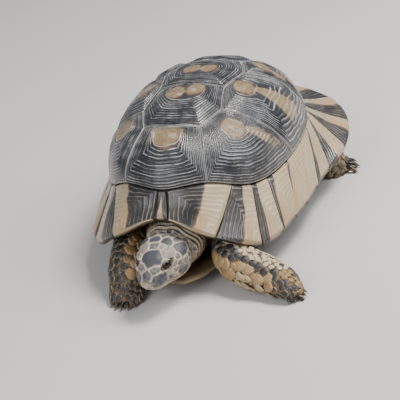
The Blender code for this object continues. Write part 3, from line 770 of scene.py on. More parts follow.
def areola_outline(outline, centre, areola):
    """The areola on the disc, a rounded shape with one point for each point of the plate's outline."""
    cx, cy = centre
    width, front, rear = areola
    inner = []
    for x, y in outline:
        depth = front if y < cy else rear
        away = (abs((x - cx) / width) ** AREOLA_SQUARENESS + abs((y - cy) / depth) ** AREOLA_SQUARENESS)
        away **= 1 / AREOLA_SQUARENESS
        inner.append((cx + (x - cx) / away, cy + (y - cy) / away))
    return inner


def dome_scute(name, outline, centre, areola, rings, paint):
    """One plate of the dome, in place of its solid."""
    inner = areola_outline(outline, centre, areola)
    bm = ringed_plate(outline, inner, centre, dome_surface, under_dome, rings, DOME_RIDGE, paint)
    return finish_piece(f"{name}_horn", bm, DOME_HORN, [name])


def ringed_plate(outline, inner, centre, surface, under, rings, ridge, paint, under_shares=UNDER_SHARES,
                 growth_limit=None):
    """A closed plate: rings from its outline in to the outline of its areola, and then to its centre. The
    ridges are low where the edge is near the centre, and a growth_limit(*place) holds the dark seam off."""
    cx, cy = centre
    field_rows = rings * RIDGE_ROWS
    below = len(under_shares)
    middle = surface(cx, cy, 0)
    reach = [(surface(x, y, 0) - middle).length for x, y in outline]
    shrink = [SEAM_GAP / 2 / max(length, REACH_LEAST) for length in reach]
    outer = [(x + (cx - x) * k, y + (cy - y) * k) for (x, y), k in zip(outline, shrink)]

    def place(column, row):
        x, y = outer[column]
        a, b = inner[column]
        if row < below:
            k = under_shares[row]
            return under(cx + (x - cx) * k, cy + (y - cy) * k), {"growth": 1.0}
        steps = row - below
        growth = max(1 - steps / field_rows, 0)
        core = max(1 - max(steps - field_rows, 0) / AREOLA_ROWS, AREOLA_LEAST)
        if growth:
            at = (a + (x - a) * growth, b + (y - b) * growth)
        else:
            at = (cx + (a - cx) * core, cy + (b - cy) * core)
        spot = surface(*at, 0)
        wobble = RING_WAVER * noise.noise(spot * 110) + AREOLA_WAVER * (1 - core) * noise.noise(spot * 240)
        phase = (1 - growth) * rings + wobble + (1 - core) * AREOLA_LINES
        crest = ridge_profile(phase % 1) * (1 if growth else AREOLA_CREST)
        crest *= step((1 - growth) / 0.03)
        strength = 0.75 + 0.7 * noise.noise(Vector((floor(phase) * 1.7, cx * 9, cy * 9)))
        strength *= 0.75 + 0.5 * noise.noise(spot * 160)
        lift = CROWN * step((1 - growth) / 0.8) - GROOVE * (1 - step((1 - growth) / 0.05))
        pale, warm = paint(at[0] - cx, at[1] - cy, growth if growth else core - 1)
        shown = min(growth, growth_limit(*at)) if growth_limit else growth
        marks = {"growth": shown, "phase": phase, "crest": min(strength, 1), "pale": pale, "warm": warm}
        height = ridge * min(reach[column] / REACH_FULL, 1)
        return surface(*at, lift + height * crest * strength), marks

    return ring_net(len(outline), below + field_rows + AREOLA_ROWS, place)


VERTEBRAL_GROWTH = (
    ((0.0, -0.525), (0.095, 0.070, 0.048), 13,
     spot_marks([(0, 0, 0.105, 0.075)])),
    ((0.0, -0.185), (0.120, 0.070, 0.050), 12,
     spot_marks([(0.064, 0.008, 0.056, 0.044), (-0.064, -0.010, 0.056, 0.042)])),
    ((0.0, 0.040), (0.120, 0.075, 0.055), 11,
     spot_marks([(0.060, 0.0, 0.054, 0.045), (-0.060, 0.0, 0.056, 0.042)])),
    ((0.0, 0.390), (0.095, 0.065, 0.055), 10,
     spot_marks([(0.05, 0.0, 0.04, 0.04), (-0.05, 0.0, 0.04, 0.04)])),
    ((0.0, 0.700), (0.095, 0.060, 0.050), 9,
     spot_marks([(0, 0, 0.09, 0.05)])),
)


def make_vertebral_horn():
    """The five plates along the midline, front to rear."""
    (left, left_waist), (right, right_waist) = dome_corners(1), dome_corners(-1)
    first, last = COSTAL_ANGLES[0], COSTAL_ANGLES[-1]
    corners = [[-first, first, left[0], right[0]]]
    for k in range(3):
        corners.append([right[k], left[k], left_waist[k], left[k + 1], right[k + 1], right_waist[k]])
    corners.append([right[3], left[3], last, 360 - last])
    for number, (points, growth) in enumerate(zip(corners, VERTEBRAL_GROWTH), 1):
        dome_scute(f"vertebral_{number}", outline_through(points), *growth)


def costal_growth(side):
    """Growth centre, shield, rings and markings of the four side plates, front to rear."""
    return (
        ((side * 0.420, -0.385), (0.080, 0.062, 0.052), 15,
         spot_marks([(0, -0.005, 0.085, 0.062)], [(side * 107, 12, 0.50)])),
        ((side * 0.350, -0.068), (0.065, 0.065, 0.050), 14,
         spot_marks([(side * 0.01, 0, 0.070, 0.050)], [(side * 106, 13, 0.66)])),
        ((side * 0.360, 0.262), (0.065, 0.065, 0.050), 13,
         spot_marks([(side * 0.01, 0, 0.070, 0.050)], [(side * 92, 13, 0.55)])),
        ((side * 0.330, 0.610), (0.055, 0.050, 0.045), 10,
         spot_marks([(0, 0, 0.060, 0.050)], [(side * 150, 16, 0.4)])),
    )


def make_costal_horn(side, word):
    """The four plates on one side of the dome, front to rear."""
    shared, waist = dome_corners(side)
    angles = [side * angle for angle in COSTAL_ANGLES]
    corners = [
        [angles[0], angles[1], waist[0], shared[0]],
        [angles[1], angles[2], waist[1], shared[1], waist[0]],
        [angles[2], angles[3], waist[2], shared[2], waist[1]],
        [angles[3], angles[4], shared[3], waist[2]],
    ]
    for number, (points, growth) in enumerate(zip(corners, costal_growth(side)), 1):
        dome_scute(f"costal_{word}_{number}", outline_through(points), *growth)


make_vertebral_horn()
make_costal_horn(1, "left")
make_costal_horn(-1, "right")

# %% [markdown]
# ## The girdle
#
# The marginal scutes, twenty-four with the nuchal in front and the supracaudal behind. Each is the same
# ringed plate, outlined on the girdle's own flat map of stations and shares, and carried on underneath as
# plain pale horn. A marginal grows from the corner of its rear edge and the rim, so its rings run along the
# rim and turn up beside the seam. Its dark wedge lies along its front edge. The seams between neighbours are
# dark, but the one along the dome is left in the horn's own colour.

# %% Marginal scutes
GIRDLE_RINGS = 9
GIRDLE_RIDGE = 0.00022
GIRDLE_SHARES = (0.02, 0.25, 0.5, 0.75, 0.93, 1)
GROWTH_ALONG = 0.90
GROWTH_SHARE = 0.90
END_SHARE = 0.70
DOME_SEAM_SHARE = 0.05
DOME_SEAM_GROWTH = 0.96
DARK_SHARES = ((0.62, 0.58), (0.55, 0.58), (0.30, 0.34), (0.24, 0.16), (0.10, 0.05), (0.08, 0.05),
               (0.10, 0.42), (0.15, 0.5), (0.3, 0.6), (0.5, 0.6), (0.5, 0.6))
TAN_TIPS = (0.04, 0, 0, 0, 0, 0, 0, 0, 0, 0, 0)


def girdle_outline(start, end, columns=14, rows=22):
    """A marginal's outline on the girdle's flat map, round from its front corner at the dome."""
    points = [(start + (end - start) * k / columns, 0.0) for k in range(columns)]
    points += [(end, k / rows) for k in range(rows)]
    points += [(end + (start - end) * k / columns, 1.0) for k in range(columns)]
    points += [(start, 1.0 - k / rows) for k in range(rows)]
    return points


def wedge_marks(start, end, dark_at_dome, dark_at_rim, tip=0.0):
    """A painter for a marginal: dark from its front edge, by shares of its length at the dome and the rim."""
    centre = girdle_centre(start, end)

    def paint(dx, dy, growth):
        along = (centre[0] + dx - start) / (end - start)
        share = centre[1] + dy
        limit = dark_at_dome + (dark_at_rim - dark_at_dome) * max(share, 0) ** 0.8
        limit += 0.05 * noise.noise(Vector(((centre[0] + dx) * 3, share * 4, 0.5)))
        pale = max(step((along - limit + 0.08) / 0.16), fade(1 - share, tip, 0.08) if tip else 0)
        return pale, 0.6 * fade(abs(along - limit - 0.08), 0.09, 0.14) * step((share - 0.2) / 0.5)
    return paint


def middle_marks(width_at_dome, width_at_rim):
    """A painter for the nuchal and the supracaudal: a tan wedge down the middle between dark sides."""
    def paint(dx, dy, growth):
        share = END_SHARE + dy
        limit = width_at_dome + (width_at_rim - width_at_dome) * max(share, 0)
        pale = fade(abs(dx) + 0.05 * noise.noise(Vector((dx * 4, share * 4, 7.5))), limit, 0.10)
        return pale, 2 * pale * (1 - pale)
    return paint


def girdle_centre(start, end):
    """Where a marginal's growth starts: near its rear edge, and near the rim."""
    return start + (end - start) * GROWTH_ALONG, GROWTH_SHARE


def dome_seam(station, share):
    """The growth that shows: along the dome the horn keeps its own colour, with no dark seam."""
    return DOME_SEAM_GROWTH if share < DOME_SEAM_SHARE else 1.0


def girdle_scute(name, start, end, centre, paint):
    """One plate of the girdle, in place of its solid."""
    outline = girdle_outline(start, end)
    areola = (0.05 * abs(end - start), 0.06, 0.05)
    inner = areola_outline(outline, centre, areola)
    bm = ringed_plate(outline, inner, centre, girdle_surface, girdle_underside, GIRDLE_RINGS, GIRDLE_RIDGE,
                      paint, GIRDLE_SHARES, dome_seam)
    return finish_piece(f"{name}_horn", bm, GIRDLE_HORN, [name])


girdle_scute("nuchal", -1, 1, (0.0, END_SHARE), middle_marks(-0.14, 0.48))
girdle_scute("supracaudal", 12, 14, (13.0, END_SHARE), middle_marks(0.1, 0.5))
for number, (shares, tip) in enumerate(zip(DARK_SHARES, TAN_TIPS), 1):
    for word, side in (("left", 1), ("right", -1)):
        ends = (side * number, side * (number + 1))
        marks = wedge_marks(*ends, *shares, tip)
        girdle_scute(f"marginal_{word}_{number}", *ends, girdle_centre(*ends), marks)

# %% [markdown]
# ## The plastron
#
# The flat underside: six pairs of plates, that meet along the midline. They are worn smooth, so their rings
# are shallow. Each is straw yellow with a dark triangle. The bridges turn up at the sides to meet the girdle.

# %% Plastron scutes
PLASTRON_Z = 0.011
BRIDGE_RISE = 0.0075
TAIL_RISE = 0.006
LOBE_PLATE = 0.0036
LOBE_REAR = -0.060
PLASTRON_SCUTES = ("gular", "humeral", "pectoral", "abdominal", "femoral", "anal")
PLASTRON_EDGES = (-0.127, -0.103, -0.060, -0.040, 0.032, 0.062, 0.089)
PLASTRON_HALVES = ((-0.127, 0.0135), (-0.117, 0.0250), (-0.106, 0.0295), (-0.083, 0.036), (-0.060, 0.047),
                   (-0.042, 0.0605), (-0.02, 0.0650), (0.02, 0.0655), (0.036, 0.0630), (0.048, 0.047),
                   (0.070, 0.041), (0.089, 0.022))
PLASTRON_SPACING = 0.0022
PLASTRON_RINGS = 7
PLASTRON_RIDGE = 0.00018


def plastron_surface(x, y, lift):
    """A point lift below the plastron's bone: its bridges and its rear end turn up."""
    rise = BRIDGE_RISE * step((abs(x) - 0.044) / 0.026)
    rise += TAIL_RISE * step((y - 0.055) / 0.035)
    return Vector((x, y, PLASTRON_Z + rise - lift))


def plastron_half(y):
    """Half the plastron's width at a place along it."""
    for (y0, half0), (y1, half1) in zip(PLASTRON_HALVES, PLASTRON_HALVES[1:]):
        if y <= y1:
            return half0 + (half1 - half0) * (y - y0) / (y1 - y0)
    return PLASTRON_HALVES[-1][1]


def plastron_outline(side, front, rear):
    """The outline of one plate, round from the midline in front."""
    columns = ceil(max(plastron_half(front), plastron_half(rear)) / PLASTRON_SPACING)
    rows = ceil((rear - front) / PLASTRON_SPACING)
    outline = [(side * plastron_half(front) * k / columns, front) for k in range(columns)]
    outline += [(side * plastron_half(front + (rear - front) * k / rows), front + (rear - front) * k / rows)
                for k in range(rows)]
    outline += [(side * plastron_half(rear) * (1 - k / columns), rear) for k in range(columns)]
    outline += [(0.0, rear + (front - rear) * k / rows) for k in range(rows)]
    return outline


def triangle_marks(depth, half):
    """A painter for a plastron plate: a dark triangle that widens to the front."""
    def paint(dx, dy, growth):
        ragged = 0.15 * half * noise.noise(Vector((dx * 260, dy * 260, 1)))
        dark = fade(abs(dx) + ragged, half * (0.55 - dy / depth), half * 0.3)
        return 1 - 0.9 * dark * step((1 - growth) / 0.15), 0.5 * dark * (1 - dark)
    return paint


def make_plastron_horn(side, word):
    """The six plates on one side."""
    for name, front, rear in zip(PLASTRON_SCUTES, PLASTRON_EDGES, PLASTRON_EDGES[1:]):
        half = plastron_half((front + rear) / 2)
        centre = (side * half * 0.55, rear - (rear - front) * 0.45)
        outline = plastron_outline(side, front, rear)
        inner = areola_outline(outline, centre, (half * 0.1, 0.002, 0.002))
        thickness = PLATE if front >= LOBE_REAR else LOBE_PLATE
        bm = ringed_plate(outline, inner, centre, plastron_surface,
                          lambda x, y, depth=thickness: plastron_surface(x, y, -depth),
                          PLASTRON_RINGS, PLASTRON_RIDGE, triangle_marks(rear - front, half * 0.5))
        finish_piece(f"{name}_{word}_horn", bm, BELLY_HORN, [f"{name}_{word}"])


make_plastron_horn(1, "left")
make_plastron_horn(-1, "right")
print("plastron plates:", 2 * len(PLASTRON_SCUTES))

# %% [markdown]
# ## The flesh
#
# Head, neck, limbs, tail and body are one skin. Each of them has a path, a chain of points through its
# middle. A place on the skin is known by the path it is nearest to, how far along it lies, and the angle
# round it, so every limb can be unrolled like a tube for the baked map, and every scale can lie down it.

# %% Paths through the flesh
UP = Vector((0, 0, 1))
AHEAD = Vector((0, -1, 0))
HEAD_BASE = Vector((0.0030, -0.1120, 0.0340))
HEAD_YAW = 7
HEAD_PITCH = 6
HEAD_ROLL = -5
HEAD_LENGTH = 0.0425


def head_frame():
    """The head's axes as a matrix: forward, left and up, turned by its yaw, pitch and roll."""
    yaw, pitch, roll = radians(HEAD_YAW), radians(HEAD_PITCH), radians(HEAD_ROLL)
    forward = Vector((-sin(yaw) * cos(pitch), -cos(yaw) * cos(pitch), -sin(pitch)))
    left = Vector((cos(yaw), -sin(yaw), 0))
    up = left.cross(-forward)
    turned_left = cos(roll) * left + sin(roll) * up
    turned_up = -sin(roll) * left + cos(roll) * up
    return Matrix.Translation(HEAD_BASE) @ Matrix((forward, turned_left, turned_up)).transposed().to_4x4()


HEAD_FRAME = head_frame()
HIND_LEFT = ((0.040, 0.053, 0.027), (0.056, 0.060, 0.0235), (0.067, 0.061, 0.0165), (0.0745, 0.059, 0.010),
             (0.0775, 0.058, -0.003))
HIND_RIGHT = ((-0.040, 0.053, 0.027), (-0.056, 0.062, 0.0235), (-0.067, 0.066, 0.0165),
              (-0.0745, 0.067, 0.010), (-0.0775, 0.068, -0.003))
PATHS = {
    "trunk": (((0, -0.045, 0.05), (0, 0.050, 0.05)), 0.052, UP),
    "neck": (((0, -0.072, 0.0335), (0.001, -0.088, 0.035), (0.003, -0.101, 0.0335), tuple(HEAD_BASE)),
             0.021, UP),
    "head": ((tuple(HEAD_BASE), tuple(HEAD_FRAME @ Vector((HEAD_LENGTH, 0, 0)))), 0.016, UP),
    "tail": (((0, 0.072, 0.03), (0, 0.090, 0.029), (-0.003, 0.105, 0.0245), (-0.009, 0.116, 0.018),
              (-0.016, 0.1235, 0.012)), 0.008, UP),
    "foreleg_left": (((0.044, -0.052, 0.029), (0.040, -0.082, 0.0265), (0.0415, -0.1005, 0.0225),
                      (0.052, -0.1095, 0.018), (0.065, -0.1125, 0.015), (0.078, -0.1165, 0.0118),
                      (0.089, -0.1215, 0.007), (0.0955, -0.125, 0.0035)), 0.012, UP),
    "foreleg_right": (((-0.043, -0.052, 0.029), (-0.0385, -0.083, 0.0275), (-0.0355, -0.104, 0.0255),
                       (-0.034, -0.1205, 0.0175), (-0.031, -0.1285, 0.009), (-0.030, -0.137, 0.0025)),
                      0.012, UP),
    "hindleg_left": (HIND_LEFT, 0.012, AHEAD),
    "hindleg_right": (HIND_RIGHT, 0.012, AHEAD),
}
PARTS = tuple(PATHS)


def place_on_path(part, points):
    """For points: distance from the path in radii, length along it, angle round it, middle and direction."""
    chain, radius, reference = PATHS[part]
    chain = np.array(chain, dtype=float)
    best = np.full(len(points), 1e9)
    along, middle, heading = np.zeros(len(points)), np.zeros((len(points), 3)), np.zeros((len(points), 3))
    start = 0.0
    for a, b in zip(chain, chain[1:]):
        run = b - a
        length = np.linalg.norm(run)
        share = np.clip((points - a) @ run / length ** 2, 0, 1)
        nearest = a + share[:, None] * run
        distance = np.linalg.norm(points - nearest, axis=1)
        closer = distance < best
        best[closer] = distance[closer]
        along[closer] = start + share[closer] * length
        middle[closer] = nearest[closer]
        heading[closer] = run / length
        start += length
    reference = np.array(reference)
    top = reference - (heading @ reference)[:, None] * heading
    top /= np.linalg.norm(top, axis=1)[:, None]
    side = np.cross(heading, top)
    out = points - middle
    angle = np.arctan2((out * side).sum(axis=1), (out * top).sum(axis=1))
    return best / radius, along, angle, middle, heading


def nearest_part(points):
    """The number in PARTS of the part that each point belongs to."""
    return np.argmin(np.array([place_on_path(part, points)[0] for part in PARTS]), axis=0)


TILE = 1 / 3
TILE_MARGIN = 0.02
TILE_SPAN = TILE - 2 * TILE_MARGIN


def path_length(part):
    """The length of a part's path."""
    chain = [Vector(point) for point in PATHS[part][0]]
    return sum((b - a).length for a, b in zip(chain, chain[1:]))


def unrolled(part, along, angle):
    """Where a place on a part lies on the unrolled map: every part has a tile of a three by three board."""
    number = PARTS.index(part)
    u = (number % 3) * TILE + TILE_MARGIN + TILE_SPAN * (angle / (2 * pi) + 0.5)
    v = (number // 3) * TILE + TILE_MARGIN + TILE_SPAN * np.clip(along / path_length(part), 0, 1)
    return u, v


print("parts of the flesh:", ", ".join(PARTS))

# %% [markdown]
# The head is modelled afresh from its widths, crown and chin, with no gap for the jaw and no sockets: the
# lids and the mouth are formed later in the one skin. The other parts start from copies of their solids,
# merged so that neighbouring triangles share corners. A voxel remesh then melts all of them together.

# %% One skin
HEAD_HALVES = ((0, 0.0165), (0.15, 0.0182), (0.32, 0.0185), (0.55, 0.0155), (0.75, 0.0122), (0.9, 0.0090),
               (1, 0.0045))
HEAD_TOPS = ((0, 0.0128), (0.2, 0.0143), (0.5, 0.0143), (0.72, 0.0120), (0.88, 0.0080), (1, 0.0020))
HEAD_BOTTOMS = ((0, 0.0170), (0.2, 0.0170), (0.5, 0.0145), (0.8, 0.0115), (0.93, 0.0095), (1, 0.0065))
HEAD_POWER = 2.5
FLESH = ("trunk", "neck", "tail", "head", "jaw", "foreleg_left", "foreleg_right", "hindleg_left",
         "hindleg_right")
COAT_DEPTH = 0.0004
VOXEL = 0.0016
SMOOTHINGS = 5
SPLITS = (-0.012, -0.004)
TRUNK_TOP = 0.080


def append_form(bm, part):
    """Add one bmesh to another, and free it."""
    mesh = bpy.data.meshes.new("form")
    part.to_mesh(mesh)
    part.free()
    bm.from_mesh(mesh)
    bpy.data.meshes.remove(mesh)


def add_solid(bm, name):
    """Add a merged copy of a solid, in the shell's own frame."""
    part = bmesh.new()
    node = bpy.data.objects[name]
    part.from_mesh(node.data)
    place = Matrix.Translation(-SHELL_PLACE) @ node.matrix_world
    bmesh.ops.transform(part, matrix=place, verts=part.verts)
    bmesh.ops.remove_doubles(part, verts=part.verts, dist=MERGE)
    if name == "trunk":
        geometry = part.verts[:] + part.edges[:] + part.faces[:]
        bmesh.ops.bisect_plane(part, geom=geometry, plane_co=(0, 0, TRUNK_TOP), plane_no=(0, 0, 1),
                               clear_outer=True)
        bmesh.ops.holes_fill(part, edges=[edge for edge in part.edges if edge.is_boundary], sides=0)
    append_form(bm, part)


def on_tube(t, turn):
    """A place on the head's plain form, in its own frame, from a share of its length and a turn round it."""
    c, s = cos(turn), sin(turn)
    k = (abs(c) ** HEAD_POWER + abs(s) ** HEAD_POWER) ** (-1 / HEAD_POWER)
    height = smooth_value(t, HEAD_TOPS if s > 0 else HEAD_BOTTOMS)
    return HEAD_LENGTH * t, smooth_value(t, HEAD_HALVES) * k * c, height * k * s


def add_head(bm, columns=40, rows=30):
    """Add the head as a closed tube of rings, from inside the neck to the beak."""
    part = bmesh.new()
    bmesh.ops.create_grid(part, x_segments=columns, y_segments=rows, size=0.5)
    for vertex in part.verts:
        place = on_tube(vertex.co.y + 0.5, 2 * pi * (vertex.co.x + 0.5))
        vertex.co = HEAD_FRAME @ Vector(place)
    close_up(part)
    append_form(bm, part)


def remeshed(bm, voxel):
    """The bmesh melted into one skin of small squares."""
    mesh = bpy.data.meshes.new("melting")
    bm.to_mesh(mesh)
    bm.free()
    melting = bpy.data.objects.new("melting", mesh)
    bpy.context.scene.collection.objects.link(melting)
    modifier = melting.modifiers.new("melt", "REMESH")
    modifier.mode = "VOXEL"
    modifier.voxel_size = voxel
    bpy.context.view_layer.update()
    made = melting.evaluated_get(bpy.context.evaluated_depsgraph_get())
    skin = bmesh.new()
    skin.from_mesh(made.to_mesh())
    made.to_mesh_clear()
    bpy.data.objects.remove(melting, do_unlink=True)
    bpy.data.meshes.remove(mesh)
    return skin


def coordinates(bm):
    """The corners of a bmesh as an array."""
    return np.array([vertex.co for vertex in bm.verts])


def in_head(points):
    """The points in the head's own frame: forward, left, up."""
    inverse = np.array(HEAD_FRAME.inverted())
    return points @ inverse[:3, :3].T + inverse[:3, 3]


def smooth(x):
    """The smooth step on arrays."""
    x = np.clip(x, 0, 1)
    return x * x * (3 - 2 * x)


def on_head(local):
    """1 on the head and just behind it, fading to 0 down the neck and beyond the head's own thickness."""
    thickness = np.hypot(local[:, 1], local[:, 2])
    return smooth((local[:, 0] + 0.022) / 0.006) * smooth((0.028 - thickness) / 0.004)


def split_head(bm, nearest):
    """Divide the squares of the head from a place along it, so that it can hold fine forms."""
    local = in_head(coordinates(bm))
    chosen = (local[:, 0] > nearest) & (on_head(local) > 0)
    bm.verts.index_update()
    edges = [edge for edge in bm.edges if all(chosen[v.index] for v in edge.verts)]
    bmesh.ops.subdivide_edges(bm, edges=edges, cuts=1, use_grid_fill=True)
    bmesh.ops.smooth_vert(bm, verts=bm.verts, factor=0.3)


def make_skin_base():
    """The melted skin, smoothed, with a fine mesh on the head."""
    bm = bmesh.new()
    for name in FLESH:
        if name not in ("head", "jaw"):
            add_solid(bm, name)
    add_head(bm)
    skin = remeshed(bm, VOXEL)
    for _ in range(SMOOTHINGS):
        bmesh.ops.smooth_vert(skin, verts=skin.verts, factor=0.5)
    for nearest in SPLITS:
        split_head(skin, nearest)
    return skin


SKIN = make_skin_base()
print("skin squares:", len(SKIN.faces))

# %% [markdown]
# The head is the part that is looked at first. A tortoise has a horn beak with a straight cutting edge, two
# small nostrils close together above it, large dark eyes set under a brow, loose lids, and a round drum
# behind the corner of the mouth. The skin of the neck lies in soft folds behind the skull. All of it is
# pushed into the fine mesh of the head, by functions of the head's own forward, left and up.

# %% Lids, beak and folds
EYE_PLACE = (0.0276, 0.0091, 0.0068)
EYE_RADIUS = 0.0042
EYE_OUT = (0.50, 0.78, 0.36)
UNDER_EYE = (0.0310, 0.0115, 0.0020)
LID_HALF_LENGTH = 0.0040
LID_HALF_HEIGHT = 0.0014
LID_THICKNESS = 0.00035
SOCKET_DEPTH = 0.0011
MOUTH_CORNER = 0.0240
TYMPANUM = (0.0175, 0.0170, -0.0030)
NOSTRIL = (0.0425, 0.0021, -0.0002)
FOLD_WIDTH = 0.0036


def bell(x, width):
    """A smooth bump on arrays, 1 at 0."""
    return np.exp(-(x / width) ** 2)


def mouth_height(forward):
    """The height of the mouth line at a place along the head."""
    return -0.0052 + 0.0016 * bell(forward - 0.0330, 0.005) - 0.0006 * bell(forward - 0.0425, 0.002)


def on_side(place, side):
    """A place or direction of the head's left side, or its mirror image on the right."""
    return np.array(place) * (1, side, 1)


def away_from(points, place, side):
    """How far points are from a place on the head's left side, or from its mirror image."""
    return np.linalg.norm(points - on_side(place, side), axis=1)


def eye_axes(side):
    """The middle of an eye, and the directions out of it, along its lids, and across them."""
    centre = on_side(EYE_PLACE, side)
    out = on_side(EYE_OUT, side)
    out /= np.linalg.norm(out)
    along = np.array((1.0, 0.0, 0.0))
    along -= along.dot(out) * out
    along /= np.linalg.norm(along)
    across = np.cross(along, out) * -side
    return centre, out, along, across


def lid_places(points, side):
    """For each point: the way from the eye's middle to it, its length, how far it is in front, how many times
    as far out as the edge of the lids' opening it lies, and how far above their line."""
    centre, out, along, across = eye_axes(side)
    away = points - centre
    reach = np.linalg.norm(away, axis=1)
    opening = np.hypot(away @ along / LID_HALF_LENGTH, away @ across / LID_HALF_HEIGHT)
    return away, reach, away @ out, opening, away @ across


def with_lids(points, side):
    """Wrap the skin round the eyeball, and sink it behind the ball within the opening."""
    away, reach, front, opening, _ = lid_places(points, side)
    near = smooth((front + 0.0005) / 0.0012) * smooth((0.0100 - reach) / 0.0025)
    outward = away / np.maximum(reach, 1e-6)[:, None]
    rim = 0.0005 * bell(opening - 1.18, 0.18) + 0.0004 * bell(opening - 1.75, 0.22)
    lid = np.maximum(reach, EYE_RADIUS + LID_THICKNESS) + rim
    lid -= 0.0005 * bell(opening - 1.46, 0.12)
    share = smooth((opening - 0.92) / 0.16)
    wanted = (EYE_RADIUS - SOCKET_DEPTH) * (1 - share) + lid * share
    moved = on_side(EYE_PLACE, side) + outward * wanted[:, None]
    return points + (moved - points) * near[:, None]


def fold_slant(points):
    """The distance along the head that the folds follow, waved a little so that they are not plain rings."""
    return points[:, 0] + 0.0008 * np.sin(points[:, 1] * 400) + 0.0007 * np.sin(points[:, 2] * 350 + 1)


def head_relief(points):
    """How far the skin stands out at points of the head, for mouth, nostrils, brow, drum and folds."""
    x, y, z = points.T
    lift = np.zeros(len(points))
    line = z - mouth_height(x)
    jaws = smooth((x - MOUTH_CORNER) / 0.002)
    lift -= 0.0011 * bell(line, 0.00045) * jaws
    lift -= 0.0008 * smooth(-line / 0.0008) * jaws * smooth((z + 0.014) / 0.004)
    lift += 0.0005 * bell(line - 0.0010, 0.0009) * jaws
    lift += 0.0009 * smooth((x - 0.0405) / 0.0015) * bell(y, 0.0016) * bell(line - 0.0012, 0.0018)
    lift += 0.0006 * bell(x - MOUTH_CORNER, 0.0016) * bell(line, 0.003) * smooth((np.abs(y) - 0.008) / 0.003)
    for side in (1, -1):
        nostril = away_from(points, NOSTRIL, side)
        lift -= 0.0030 * bell(nostril, 0.00085)
        lift += 0.0004 * bell(nostril - 0.0016, 0.0006)
        _, _, front, opening, above = lid_places(points, side)
        lift += 0.0011 * bell(opening - 2.0, 0.5) * smooth(above / 0.002) * smooth((front + 0.001) / 0.002)
        drum = away_from(points, TYMPANUM, side)
        lift += 0.0004 * smooth((0.0042 - drum) / 0.0012) - 0.0005 * bell(drum - 0.0046, 0.0006)
    lift += 0.0006 * bell(y, 0.009) * bell(z - 0.012, 0.005) * bell(x - 0.014, 0.012)
    back = smooth((0.0010 - x) / 0.002) * smooth((x + 0.020) / 0.008)
    lift += back * 0.0013 * (np.cos(2 * pi * fold_slant(points) / FOLD_WIDTH) * 0.5 + 0.3)
    return lift


def sculpt_skin(bm):
    """Push the relief of the head into the skin, wrap it round the eyes, and sink it all by the depth of the
    coat.
    """
    bm.normal_update()
    points = coordinates(bm)
    normals = np.array([vertex.normal for vertex in bm.verts])
    local = in_head(points)
    near = on_head(local)
    lift = head_relief(local) * near - COAT_DEPTH
    points = points + normals * lift[:, None]
    local = in_head(points)
    for side in (1, -1):
        chosen = (local[:, 0] > 0.010) & (near > 0)
        local[chosen] = with_lids(local[chosen], side)
    frame = np.array(HEAD_FRAME)
    points = local @ frame[:3, :3].T + frame[:3, 3]
    points[:, 2] = np.maximum(points[:, 2], 0.0001)
    for vertex, point in zip(bm.verts, points):
        vertex.co = point
    bm.normal_update()


sculpt_skin(SKIN)
print("lowest point of the skin:", round(min(vertex.co.z for vertex in SKIN.verts), 5))

# %% [markdown]
# The plates of the head. A marginated tortoise carries one large plate on the forehead, a pair in front of
# it down to the nostrils, one over each eye, a long one on each temple and one on each drum; the rest of
# the crown is broken into small polygons, and the cheeks and throat into smaller ones. Each plate is a seed
# here: a place in the head's frame, how much further than its neighbours it reaches, and how pale it is. A
# place on the head belongs to the seed it is nearest to, and the gap between the nearest and the next
# nearest tells how far the border is, which gives each plate its rounded edge.

# %% Seeds of the head plates
MIDLINE_PLATES = (
    (0.0300, 0.0006, 0.0120, 0.0052, 0.06),
    (0.0395, 0.0000, 0.0050, 0.0012, 0.20),
    (0.0195, -0.0020, 0.0139, 0.0016, 0.30),
)
PAIRED_PLATES = (
    (0.0362, 0.0052, 0.0078, 0.0016, 0.34),
    (0.0215, 0.0098, 0.0125, 0.0024, 0.50),
    (0.0115, 0.0148, 0.0103, 0.0032, 0.14),
    (0.0185, 0.0142, 0.0085, 0.0000, 0.25),
    (0.0175, 0.0170, -0.0030, 0.0030, 0.26),
    (0.0125, 0.0044, 0.0142, 0.0018, 0.14),
    (0.0070, 0.0100, 0.0134, 0.0014, 0.20),
    (0.0368, 0.0085, 0.0002, 0.0036, 0.24),
    (0.0285, 0.0132, 0.0020, 0.0002, 0.85),
    (0.0295, 0.0125, -0.0015, 0.0006, 0.30),
    (0.0345, 0.0095, -0.0090, 0.0046, 0.85),
    (0.0240, 0.0155, 0.0015, 0.0000, 0.40),
)
SMALL_PLATE_SPACING = 0.0036
SMALL_PLATE_TRIALS = 3200


def small_seeds(taken):
    """Seeds of small plates wherever the large ones leave room, from a fixed sequence of trials."""
    seeds = []
    trial = np.random.default_rng(11)
    for _ in range(SMALL_PLATE_TRIALS):
        t = trial.uniform(-0.02, 1.0)
        turn = trial.uniform(0, 2 * pi)
        up = sin(turn)
        place = np.array(on_tube(t, turn))
        room = SMALL_PLATE_SPACING * (0.8 if up < 0 else 1)
        clear = all(np.linalg.norm(place - seed[:3]) > SMALL_PLATE_SPACING * 0.95 + 1.35 * seed[3]
                    for seed in taken)
        if clear and all(np.linalg.norm(place - seed[:3]) > room for seed in seeds):
            tone = trial.uniform(0.15, 0.75) if up > -0.2 else trial.uniform(0.45, 0.9)
            seeds.append(np.array((*place, 0, tone)))
    return seeds


def head_seeds():
    """All the seeds: x, y, z, extra reach, tone."""
    large = [np.array(plate) for plate in MIDLINE_PLATES + PAIRED_PLATES]
    large += [np.array(plate) * (1, -1, 1, 1, 1) for plate in PAIRED_PLATES]
    return np.array(large + small_seeds(large))


HEAD_SEEDS = head_seeds()
print("head plates:", len(HEAD_SEEDS))
